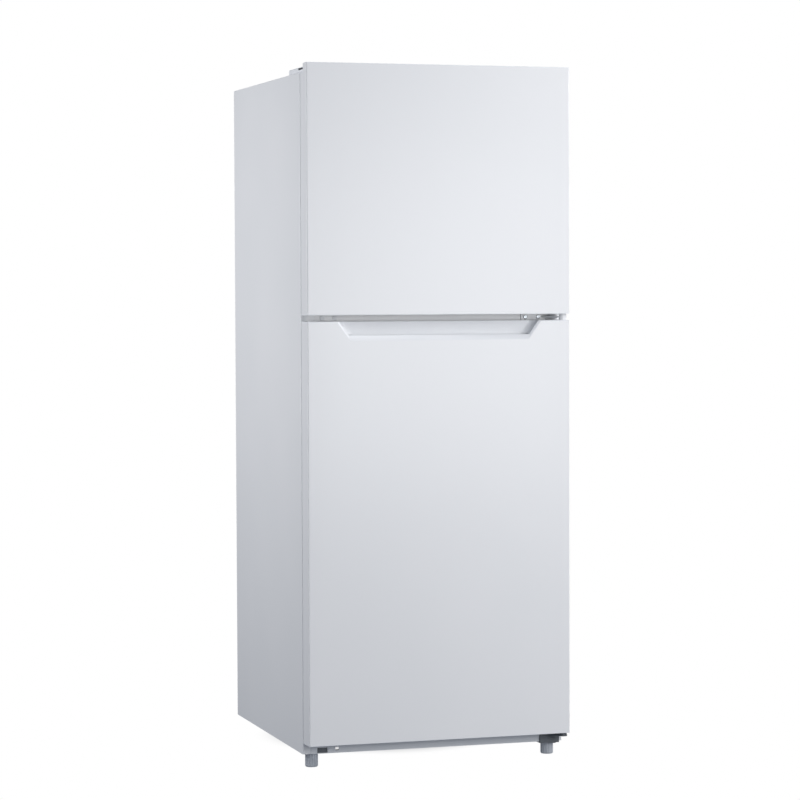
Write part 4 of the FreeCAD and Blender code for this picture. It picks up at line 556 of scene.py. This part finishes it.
def moved(tree, geometry, place, turn=(0.0, 0.0, 0.0)):
    """A geometry moved to a place and turned."""
    sockets = {"Geometry": geometry, "Translation": place, "Rotation": turn}
    return add(tree, "GeometryNodeTransform", sockets).outputs[0]


def row(tree, item, count, start, step):
    """An item repeated along a line."""
    sockets = {"Count": count, "Start Location": start, "Offset": step}
    line = add(tree, "GeometryNodeMeshLine", sockets).outputs[0]
    return add(tree, "GeometryNodeInstanceOnPoints", {"Points": line, "Instance": item}).outputs[0]


def circle(tree, sides, radius):
    """A circle as a curve."""
    sockets = {"Resolution": sides, "Radius": radius}
    return add(tree, "GeometryNodeCurvePrimitiveCircle", sockets).outputs[0]


def corner_of(tree, corner):
    """The x, y and z sockets of a corner."""
    return add(tree, "ShaderNodeSeparateXYZ", {0: corner}).outputs


def bar(tree, start, end, radius, sides):
    """A straight round bar between two points."""
    line = add(tree, "GeometryNodeCurvePrimitiveLine", {"Start": start, "End": end})
    ring = circle(tree, sides, radius)
    sockets = {"Curve": line.outputs[0], "Profile Curve": ring, "Fill Caps": True}
    return add(tree, "GeometryNodeCurveToMesh", sockets).outputs[0]


print("piece helpers ready")

# %% [markdown]
# ## Levelling feet
#
# A levelling foot is moulded round the head of a threaded stud. Its skirt carries upright ribs, so
# that wet fingers can turn it, and its lower edge is chamfered so that it slides over a floor edge.
# The tree starts from a disc whose rim is pulled in between the ribs, extrudes the chamfer and the
# skirt from it, and stacks one short cone for each turn of the thread.


# %% Ribbed feet
POINTS_PER_RIB = 6.0
LAST_GROOVE_POINT = 1.5  # points 0 and 1 of each rib are pulled in
CHAMFER_SHARE = 0.88  # the sole is this much of the skirt
CORE_SHARE, ROOT_SHARE = 0.84, 0.82  # the core, and the thin end of a turn, of the stud's radius
CORE_SUNK = 0.002  # how far the core starts inside the skirt
THREAD_SIDES = 24
FOOT_GAP = 0.00002  # corners of the foot nearer than this are one corner


def foot_tree():
    """Disc to chamfer to ribbed skirt, with a threaded stud on top."""
    tree, given = new_tree("ribbed_foot", [
        ("Radius", FLOAT), ("Height", FLOAT), ("Ribs", INT), ("Rib depth", FLOAT),
        ("Chamfer", FLOAT), ("Stud radius", FLOAT), ("Stud top", FLOAT), ("Pitch", FLOAT),
        ("Place", VECTOR),
    ])
    get = given.outputs
    disc = add(tree, "GeometryNodeMeshCircle", {
        "Vertices": math_of(tree, "MULTIPLY", get["Ribs"], POINTS_PER_RIB),
        "Radius": get["Radius"],
    }, fill_type="NGON")
    index = add(tree, "GeometryNodeInputIndex").outputs[0]
    turn = math_of(tree, "MODULO", index, POINTS_PER_RIB)
    groove = math_of(tree, "LESS_THAN", turn, LAST_GROOVE_POINT)
    share = math_of(tree, "DIVIDE", get["Rib depth"], get["Radius"])
    pull = math_of(tree, "MULTIPLY", math_of(tree, "MULTIPLY", groove, share), -1.0)
    place = add(tree, "GeometryNodeInputPosition").outputs[0]
    inward = scaled(tree, place, pull)
    rim = shifted(tree, disc.outputs[0], inward)
    small = add(tree, "GeometryNodeTransform", {
        "Geometry": rim, "Scale": (CHAMFER_SHARE, CHAMFER_SHARE, 1.0),
    }).outputs[0]
    step = vector(tree, z=get["Chamfer"])
    flare = add(tree, "GeometryNodeExtrudeMesh", {"Mesh": small, "Offset": step}, mode="FACES")
    wide = add(tree, "GeometryNodeScaleElements", {
        "Geometry": flare.outputs["Mesh"], "Selection": flare.outputs["Top"],
        "Scale": 1.0 / CHAMFER_SHARE,
    })
    tall = vector(tree, z=math_of(tree, "SUBTRACT", get["Height"], get["Chamfer"]))
    skirt = add(tree, "GeometryNodeExtrudeMesh", {
        "Mesh": wide.outputs[0], "Selection": flare.outputs["Top"], "Offset": tall,
    }, mode="FACES")
    sole = add(tree, "GeometryNodeFlipFaces", {"Mesh": small}).outputs[0]
    head = joined(tree, [skirt.outputs["Mesh"], sole])
    welded = add(tree, "GeometryNodeMergeByDistance", {
        "Geometry": head, "Distance": FOOT_GAP,
    }).outputs[0]
    length = math_of(tree, "SUBTRACT", get["Stud top"], get["Height"])
    sunk = math_of(tree, "SUBTRACT", get["Height"], CORE_SUNK)
    core = bar(
        tree, vector(tree, z=sunk), vector(tree, z=get["Stud top"]),
        math_of(tree, "MULTIPLY", get["Stud radius"], CORE_SHARE), THREAD_SIDES,
    )
    thread = add(tree, "GeometryNodeMeshCone", {
        "Vertices": THREAD_SIDES,
        "Radius Top": math_of(tree, "MULTIPLY", get["Stud radius"], ROOT_SHARE),
        "Radius Bottom": get["Stud radius"], "Depth": get["Pitch"],
    })
    turns = math_of(tree, "FLOOR", math_of(tree, "DIVIDE", length, get["Pitch"]), 0.0)
    foot, pitch = vector(tree, z=get["Height"]), vector(tree, z=get["Pitch"])
    stud = row(tree, thread.outputs[0], turns, foot, pitch)
    whole = moved(tree, joined(tree, [welded, core, stud]), get["Place"])
    end_tree(tree, whole, FINISH["foot"])
    return tree


FOOT_TREE = foot_tree()
SKIRT_HEIGHT = {"left": 0.0306, "right": 0.0276}
for side, head in SKIRT_HEIGHT.items():
    node = "front_foot_" + side
    low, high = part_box(node)
    middle = ((low[0] + high[0]) / 2, (low[1] + high[1]) / 2, low[2])
    grow("ribbed_foot_" + side, FOOT_TREE, {
        "Radius": (high[0] - low[0]) / 2, "Height": head, "Ribs": 22, "Rib depth": 0.0011,
        "Chamfer": 0.0022, "Stud radius": 0.004, "Stud top": high[2] - low[2],
        "Pitch": 0.00125, "Place": middle,
    }, node, (node,))

# %% [markdown]
# ## The freezer's wire shelf
#
# The shelf is welded from drawn wire and dipped in white epoxy: thin cross wires on three thicker
# rails, with a closing wire at each end. The epoxy rounds every crossing, so the wires are sunk a
# little into the rails. The tree repeats one wire along the width.


# %% Wire shelf
RAIL_SIDES, WIRE_SIDES = 20, 14


def wire_shelf_tree():
    """Cross wires repeated along three rails."""
    tree, given = new_tree("wire_shelf", [
        ("Low corner", VECTOR), ("High corner", VECTOR), ("Wires", INT), ("Wire radius", FLOAT),
        ("Rail radius", FLOAT), ("Margin", FLOAT),
    ])
    get = given.outputs
    low, high = corner_of(tree, get["Low corner"]), corner_of(tree, get["High corner"])
    front = math_of(tree, "ADD", low[1], get["Rail radius"])
    back = math_of(tree, "SUBTRACT", high[1], get["Rail radius"])
    rail_z = math_of(tree, "ADD", low[2], get["Rail radius"])
    wire_z = math_of(tree, "SUBTRACT", high[2], get["Wire radius"])
    middle = math_of(tree, "MULTIPLY", math_of(tree, "ADD", front, back), 0.5)
    parts = []
    for y in (front, middle, back):
        start, end = vector(tree, low[0], y, rail_z), vector(tree, high[0], y, rail_z)
        parts.append(bar(tree, start, end, get["Rail radius"], RAIL_SIDES))
    start, end = vector(tree, 0.0, front, wire_z), vector(tree, 0.0, back, wire_z)
    wire = bar(tree, start, end, get["Wire radius"], WIRE_SIDES)
    left = math_of(tree, "ADD", low[0], get["Margin"])
    right = math_of(tree, "SUBTRACT", high[0], get["Margin"])
    gaps = math_of(tree, "SUBTRACT", get["Wires"], 1.0)
    pitch = math_of(tree, "DIVIDE", math_of(tree, "SUBTRACT", right, left), gaps)
    parts.append(row(tree, wire, get["Wires"], vector(tree, left), vector(tree, pitch)))
    end_tree(tree, joined(tree, parts), FINISH["wire"])
    return tree


low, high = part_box("freezer_shelf")
grow("wire_shelf", wire_shelf_tree(), {
    "Low corner": low, "High corner": high, "Wires": 31, "Wire radius": 0.0017,
    "Rail radius": 0.003, "Margin": 0.006,
}, "cabinet", ("freezer_shelf",))

# %% [markdown]
# ## Screws of the back panel
#
# The galvanised back is held to the folded edges of the case by pan head screws. A screw head is a
# low dome with a cross cut into it, so the tree cuts two crossed slots from one dome and repeats it
# up both sides.


# %% Back panel screws
HEAD_SIDES = 32
DOME_RISE, DOME_TOP = 0.35, 0.72  # shares of the head's height and width
SLOT_LONG, SLOT_THIN = 1.15, 0.24  # shares of the head's radius
SLOT_MIDDLE = 0.8  # share of the head's height


def screw_rows_tree():
    """One cross-recessed pan head repeated up the two sides of a panel."""
    tree, given = new_tree("screw_rows", [
        ("Low corner", VECTOR), ("High corner", VECTOR), ("Count", INT), ("Head radius", FLOAT),
        ("Head height", FLOAT), ("Edge", FLOAT), ("Ends", FLOAT),
    ])
    get = given.outputs
    tall = get["Head height"]
    stem = add(tree, "GeometryNodeMeshCylinder", {
        "Vertices": HEAD_SIDES, "Radius": get["Head radius"], "Depth": tall,
    })
    rise = vector(tree, z=math_of(tree, "MULTIPLY", tall, DOME_RISE))
    dome = add(tree, "GeometryNodeExtrudeMesh", {
        "Mesh": stem.outputs["Mesh"], "Selection": stem.outputs["Top"], "Offset": rise,
    }, mode="FACES")
    domed = add(tree, "GeometryNodeScaleElements", {
        "Geometry": dome.outputs["Mesh"], "Selection": dome.outputs["Top"], "Scale": DOME_TOP,
    }).outputs[0]
    slots = []
    long = math_of(tree, "MULTIPLY", get["Head radius"], SLOT_LONG)
    thin = math_of(tree, "MULTIPLY", get["Head radius"], SLOT_THIN)
    for x, y in ((long, thin), (thin, long)):
        cube = add(tree, "GeometryNodeMeshCube", {"Size": vector(tree, x, y, tall)}).outputs[0]
        lift = vector(tree, z=math_of(tree, "MULTIPLY", tall, SLOT_MIDDLE))
        slots.append(moved(tree, cube, lift))
    cut = add(tree, "GeometryNodeMeshBoolean", {"Mesh 1": domed}, operation="DIFFERENCE")
    for slot in slots:
        tree.links.new(slot, cut.inputs["Mesh 2"])
    turned = moved(tree, cut.outputs["Mesh"], (0.0, 0.0, 0.0), (-math.pi / 2, 0.0, 0.0))
    low, high = corner_of(tree, get["Low corner"]), corner_of(tree, get["High corner"])
    foot = math_of(tree, "ADD", low[2], get["Ends"])
    top = math_of(tree, "SUBTRACT", high[2], get["Ends"])
    gaps = math_of(tree, "SUBTRACT", get["Count"], 1.0)
    step = vector(tree, z=math_of(tree, "DIVIDE", math_of(tree, "SUBTRACT", top, foot), gaps))
    y = math_of(tree, "ADD", high[1], math_of(tree, "MULTIPLY", tall, 0.5))
    left = math_of(tree, "ADD", low[0], get["Edge"])
    right = math_of(tree, "SUBTRACT", high[0], get["Edge"])
    rows = []
    for x in (left, right):
        rows.append(row(tree, turned, get["Count"], vector(tree, x, y, foot), step))
    end_tree(tree, joined(tree, rows), FINISH["plated"])
    return tree


panel_low, panel_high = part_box("rear_panel")
grow("back_panel_screws", screw_rows_tree(), {
    "Low corner": (CASE_LOW[0], CASE_LOW[1], panel_low[2]),
    "High corner": (CASE_HIGH[0], CASE_HIGH[1], panel_high[2]),
    "Count": 8, "Head radius": 0.0038, "Head height": 0.0016, "Edge": 0.0065, "Ends": 0.03,
}, "cabinet")

# %% [markdown]
# ## Flutes on the clear mouldings
#
# Clear bins and drawers are stiffened by upright flutes on the wall that a person sees. Each is a
# half-round bead a little over a millimetre high, sunk into the wall so that it reads as one piece.
# One tree makes them all, from two corners, a pitch and a bead radius.


# %% Flutes
FLUTE_PITCH, FLUTE_BEAD, FLUTE_SIDES = 0.014, 0.0012, 12
FLUTE_EDGE = 0.014  # from a moulding's side to its first flute
CRISPER_WALL, CRISPER_FOOT, CRISPER_TOP = 0.0122, 0.012, 0.024  # in from the drawer's box
BIN_SUNK, BIN_FOOT, BIN_TOP = 0.0002, 0.008, 0.016  # in from the wall, its foot and its top
BIN_WALLS = {  # for each bin, how high its wall starts over the floor and how tall it is
    "fridge": ((0.132, 0.120), (0.426, 0.096), (0.686, 0.084)),
    "freezer": ((1.057, 0.088), (1.249, 0.088)),
}


def flutes_tree():
    """Upright half-round beads repeated across a wall."""
    tree, given = new_tree("flutes", [
        ("Left", FLOAT), ("Right", FLOAT), ("Wall", FLOAT), ("Foot", FLOAT), ("Top", FLOAT),
        ("Pitch", FLOAT), ("Bead", FLOAT),
    ])
    get = given.outputs
    foot, top = vector(tree, z=get["Foot"]), vector(tree, z=get["Top"])
    bead = bar(tree, foot, top, get["Bead"], FLUTE_SIDES)
    width = math_of(tree, "SUBTRACT", get["Right"], get["Left"])
    gaps = math_of(tree, "FLOOR", math_of(tree, "DIVIDE", width, get["Pitch"]), 0.0)
    count = math_of(tree, "ADD", gaps, 1.0)
    step = vector(tree, math_of(tree, "DIVIDE", width, gaps))
    beads = row(tree, bead, count, vector(tree, get["Left"], get["Wall"]), step)
    end_tree(tree, beads, FINISH["clear"])
    return tree


FLUTES_TREE = flutes_tree()


def flutes(name, left, right, wall, foot, top, body):
    """Flutes across one wall of a clear moulding."""
    grow(name, FLUTES_TREE, {
        "Left": left, "Right": right, "Wall": wall, "Foot": foot, "Top": top,
        "Pitch": FLUTE_PITCH, "Bead": FLUTE_BEAD,
    }, body)


for side in ("left", "right"):
    low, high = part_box("crisper_" + side)
    flutes(
        "crisper_flutes_" + side, low[0] + FLUTE_EDGE, high[0] - FLUTE_EDGE,
        low[1] + CRISPER_WALL, low[2] + CRISPER_FOOT, high[2] - CRISPER_TOP, "crisper_" + side,
    )
for door, walls in BIN_WALLS.items():
    low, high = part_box(door + "_door_bins")
    for number, (foot, tall) in enumerate(walls):
        flutes(
            door + "_bin_flutes_" + str(number + 1), low[0] + FLUTE_EDGE, high[0] - FLUTE_EDGE,
            high[1] - BIN_SUNK, foot + BIN_FOOT, foot + tall - BIN_TOP, door + "_door",
        )

# %% [markdown]
# ## Marks round the dial
#
# The thermostat dial has no figures. Short raised bars stand round it on the housing, and the tree
# sets one on each point of an arc and turns it to face the middle.


# %% Dial marks
MARK_THICK = 0.0008
MARK_LIFT = 0.0001  # how far a mark's middle stands in front of the housing


def dial_marks_tree():
    """Short bars on an arc, each turned to the middle."""
    tree, given = new_tree("dial_marks", [
        ("Place", VECTOR), ("Radius", FLOAT), ("Count", INT), ("Sweep", FLOAT),
        ("Length", FLOAT), ("Width", FLOAT),
    ])
    get = given.outputs
    size = vector(tree, get["Width"], MARK_THICK, get["Length"])
    mark = add(tree, "GeometryNodeMeshCube", {"Size": size}).outputs[0]
    line = add(tree, "GeometryNodeMeshLine", {"Count": get["Count"], "Offset": (0.0, 0.0, 0.0)})
    gaps = math_of(tree, "SUBTRACT", get["Count"], 1.0)
    index = add(tree, "GeometryNodeInputIndex").outputs[0]
    share = math_of(tree, "SUBTRACT", math_of(tree, "DIVIDE", index, gaps), 0.5)
    angle = math_of(tree, "MULTIPLY", share, get["Sweep"])
    x = math_of(tree, "MULTIPLY", math_of(tree, "SINE", angle, 0.0), get["Radius"])
    z = math_of(tree, "MULTIPLY", math_of(tree, "COSINE", angle, 0.0), get["Radius"])
    ring = add(tree, "GeometryNodeSetPosition", {
        "Geometry": line.outputs[0], "Position": vector(tree, x, 0.0, z),
    })
    turn = add(tree, "FunctionNodeAxisAngleToRotation", {
        "Axis": (0.0, 1.0, 0.0), "Angle": angle,
    }).outputs[0]
    marks = add(tree, "GeometryNodeInstanceOnPoints", {
        "Points": ring.outputs[0], "Instance": mark, "Rotation": turn,
    }).outputs[0]
    end_tree(tree, moved(tree, marks, get["Place"]), FINISH["black"])
    return tree


low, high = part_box("thermostat_knob")
housing_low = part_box("control_box")[0]
grow("dial_marks", dial_marks_tree(), {
    "Place": ((low[0] + high[0]) / 2, housing_low[1] - MARK_LIFT, (low[2] + high[2]) / 2),
    "Radius": 0.0192, "Count": 9, "Sweep": math.radians(260.0), "Length": 0.0036,
    "Width": 0.0011,
}, "cabinet")

# %% [markdown]
# ## The weld round the compressor
#
# The two halves of the can are joined by one run of weld on their seam. A weld bead is a ring that
# ripples as the torch steps round, so the tree moves the points of a circle in and out by a sine of
# their number and sweeps a round section along it.


# %% Weld bead
POINTS_PER_RIPPLE = 4.0
BEAD_SIDES = 10
SEAM_HEIGHT = 0.0875  # over the lowest point of the can


def weld_tree():
    """A rippled ring of weld."""
    tree, given = new_tree("weld_bead", [
        ("Place", VECTOR), ("Radius", FLOAT), ("Bead", FLOAT), ("Ripples", INT),
        ("Ripple height", FLOAT),
    ])
    get = given.outputs
    points = math_of(tree, "MULTIPLY", get["Ripples"], POINTS_PER_RIPPLE)
    ring = circle(tree, points, get["Radius"])
    section = circle(tree, BEAD_SIDES, get["Bead"])
    index = add(tree, "GeometryNodeInputIndex").outputs[0]
    wave = math_of(tree, "SINE", math_of(tree, "MULTIPLY", index, math.pi / 2), 0.0)
    share = math_of(tree, "DIVIDE", get["Ripple height"], get["Radius"])
    place = add(tree, "GeometryNodeInputPosition").outputs[0]
    rippled = shifted(tree, ring, scaled(tree, place, math_of(tree, "MULTIPLY", wave, share)))
    bead = add(tree, "GeometryNodeCurveToMesh", {"Curve": rippled, "Profile Curve": section})
    end_tree(tree, moved(tree, bead.outputs[0], get["Place"]), FINISH["enamel"])
    return tree


low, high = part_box("compressor")
grow("compressor_weld", weld_tree(), {
    "Place": ((low[0] + high[0]) / 2, (low[1] + high[1]) / 2, low[2] + SEAM_HEIGHT),
    "Radius": 0.0750, "Bead": 0.0019, "Ripples": 90, "Ripple height": 0.0003,
}, "cabinet")

# %% [markdown]
# ## The door seals
#
# Each door carries a soft PVC seal with a magnet in its face. It is extruded as one long section,
# cut at 45 degrees and welded into a frame, so its corners are mitred. The section has a flat face
# with a groove beside the magnet, and bellows folds at both edges that let it reach the cabinet.


# %% Door seals
SEAL_SECTION = (  # millimetres inward from the outer edge, then height over the door
    (1.4, 0.0), (24.6, 0.0), (25.8, 0.8), (24.4, 1.5), (25.9, 2.3), (25.0, 3.5), (17.6, 3.7),
    (16.9, 2.8), (15.6, 2.8), (14.9, 3.7), (1.8, 3.5), (0.1, 2.4), (1.5, 1.6), (0.2, 0.8),
)


def seal(door):
    """The bellows section carried round the frame of one door, with mitred corners."""
    low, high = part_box(door + "_door_gasket")
    mesh = bmesh.new()
    rings = []
    for inward, height in SEAL_SECTION:
        x0, x1 = low[0] + inward * MM, high[0] - inward * MM
        z0, z1 = low[2] + inward * MM, high[2] - inward * MM
        y = low[1] + height * MM
        corners = ((x0, z0), (x1, z0), (x1, z1), (x0, z1))
        rings.append([mesh.verts.new((x, y, z)) for x, z in corners])
    for first, second in zip(rings, rings[1:] + rings[:1]):
        for i in range(4):
            j = (i + 1) % 4
            mesh.faces.new((first[i], first[j], second[j], second[i]))
    bmesh.ops.recalc_face_normals(mesh, faces=mesh.faces)
    data = bpy.data.meshes.new(door + "_seal")
    mesh.to_mesh(data)
    mesh.free()
    data.materials.append(FINISH["seal"])
    piece = new_object(door + "_seal", data)
    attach(piece, door + "_door")
    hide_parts(door + "_door_gasket")
    print(door + "_seal:", len(data.polygons), "faces")


for door in ("fridge", "freezer"):
    seal(door)

# %% [markdown]
# ## The floor and the light
#
# The appliance stands on a white floor in front of nothing, and the floor is dim only underneath
# it. The key light is a large soft panel high on the right, so both doors grow brighter towards the
# upper right corner. A lower panel stands in front of the doors, and a third on the left lights the
# side of the case. The sky is dimmer and bluer below the horizon, which is why the fronts darken
# slowly towards the floor.


# %% Floor
FLOOR_HALF = 30.0
UNDER = (0.0, -0.12, 0.0)  # added to a place, so the dim patch is centred at y = 0.12
DIM_INSIDE, WHITE_OUTSIDE, DIM_SHARE = 0.12, 0.30, 0.2


def make_floor():
    """A wide white floor that is only dim in the middle, under the appliance."""
    mesh = bpy.data.meshes.new("floor")
    half = FLOOR_HALF
    corners = [(-half, -half, 0), (half, -half, 0), (half, half, 0), (-half, half, 0)]
    mesh.from_pydata(corners, [], [(0, 1, 2, 3)])
    floor = new_object("floor", mesh)
    material = bpy.data.materials.new("pale_floor")
    material.use_nodes = True
    tree = material.node_tree
    tree.nodes.clear()
    place = add(tree, "ShaderNodeTexCoord").outputs["Object"]
    middle = add(tree, "ShaderNodeVectorMath", {0: place, 1: UNDER}, operation="ADD")
    far = add(tree, "ShaderNodeVectorMath", {0: middle.outputs[0]}, operation="LENGTH")
    fade = add(tree, "ShaderNodeMapRange", {
        "Value": far.outputs["Value"], "From Min": DIM_INSIDE, "From Max": WHITE_OUTSIDE,
        "To Min": DIM_SHARE, "To Max": 1.0,
    }, interpolation_type="SMOOTHSTEP")
    matt = add(tree, "ShaderNodeBsdfDiffuse", {"Color": linear("#f4f4f4")})
    glow = add(tree, "ShaderNodeEmission", {"Color": linear("#ffffff"), "Strength": 1.0})
    mix = add(tree, "ShaderNodeMixShader", {
        0: fade.outputs["Result"], 1: matt.outputs[0], 2: glow.outputs[0],
    })
    add(tree, "ShaderNodeOutputMaterial", {"Surface": mix.outputs[0]})
    mesh.materials.append(material)
    floor.visible_diffuse = False
    floor.visible_glossy = False


make_floor()
print("floor made")


# %% Light
LEVEL_SPREAD, TINT_SPREAD = 0.6, 0.5  # how far from the horizon the sky goes on changing


def make_sky(above, below):
    """An even sky, dimmer and bluer below the horizon; the camera sees it white."""
    world = bpy.data.worlds.new("studio")
    world.use_nodes = True
    tree = world.node_tree
    tree.nodes.clear()
    way = add(tree, "ShaderNodeTexCoord").outputs["Generated"]
    height = add(tree, "ShaderNodeSeparateXYZ", {"Vector": way}).outputs["Z"]
    level = add(tree, "ShaderNodeMapRange", {
        "Value": height, "From Min": -LEVEL_SPREAD, "From Max": LEVEL_SPREAD,
        "To Min": below, "To Max": above,
    }).outputs["Result"]
    rise = add(tree, "ShaderNodeMapRange", {
        "Value": height, "From Min": -TINT_SPREAD, "From Max": TINT_SPREAD,
    }).outputs["Result"]
    colour = two_tone(tree, rise, "#dfe8fb", "#f3f7ff")
    dim = add(tree, "ShaderNodeBackground", {"Color": colour, "Strength": level})
    white = add(tree, "ShaderNodeBackground", {"Color": linear("#ffffff"), "Strength": 1.0})
    seen = add(tree, "ShaderNodeLightPath").outputs["Is Camera Ray"]
    mix = add(tree, "ShaderNodeMixShader", {0: seen, 1: dim.outputs[0], 2: white.outputs[0]})
    add(tree, "ShaderNodeOutputWorld", {"Surface": mix.outputs[0]})
    bpy.context.scene.world = world


def make_panel(name, place, aim, width, height, power):
    """A soft rectangular light panel aimed at a point."""
    data = bpy.data.lights.new(name, "AREA")
    data.shape = "RECTANGLE"
    data.size, data.size_y, data.energy = width, height, power
    lamp = bpy.data.objects.new(name, data)
    lamp.location = place
    lamp.rotation_euler = (Vector(aim) - Vector(place)).to_track_quat("-Z", "Y").to_euler()
    lamp.visible_camera = False
    bpy.context.scene.collection.objects.link(lamp)


make_sky(above=0.51, below=0.18)
make_panel("key_panel", (2.37, -1.45, 2.53), (0.0, -0.33, 0.7), 1.2, 2.4, 57.0)
make_panel("front_panel", (0.8, -3.2, 0.95), (0.0, -0.33, 1.05), 1.6, 1.1, 28.5)
make_panel("side_panel", (-1.61, 0.18, 1.18), (-0.3, 0.0, 1.12), 1.2, 1.08, 12.0)
bpy.context.scene.view_settings.view_transform = "Standard"
print("light ready")
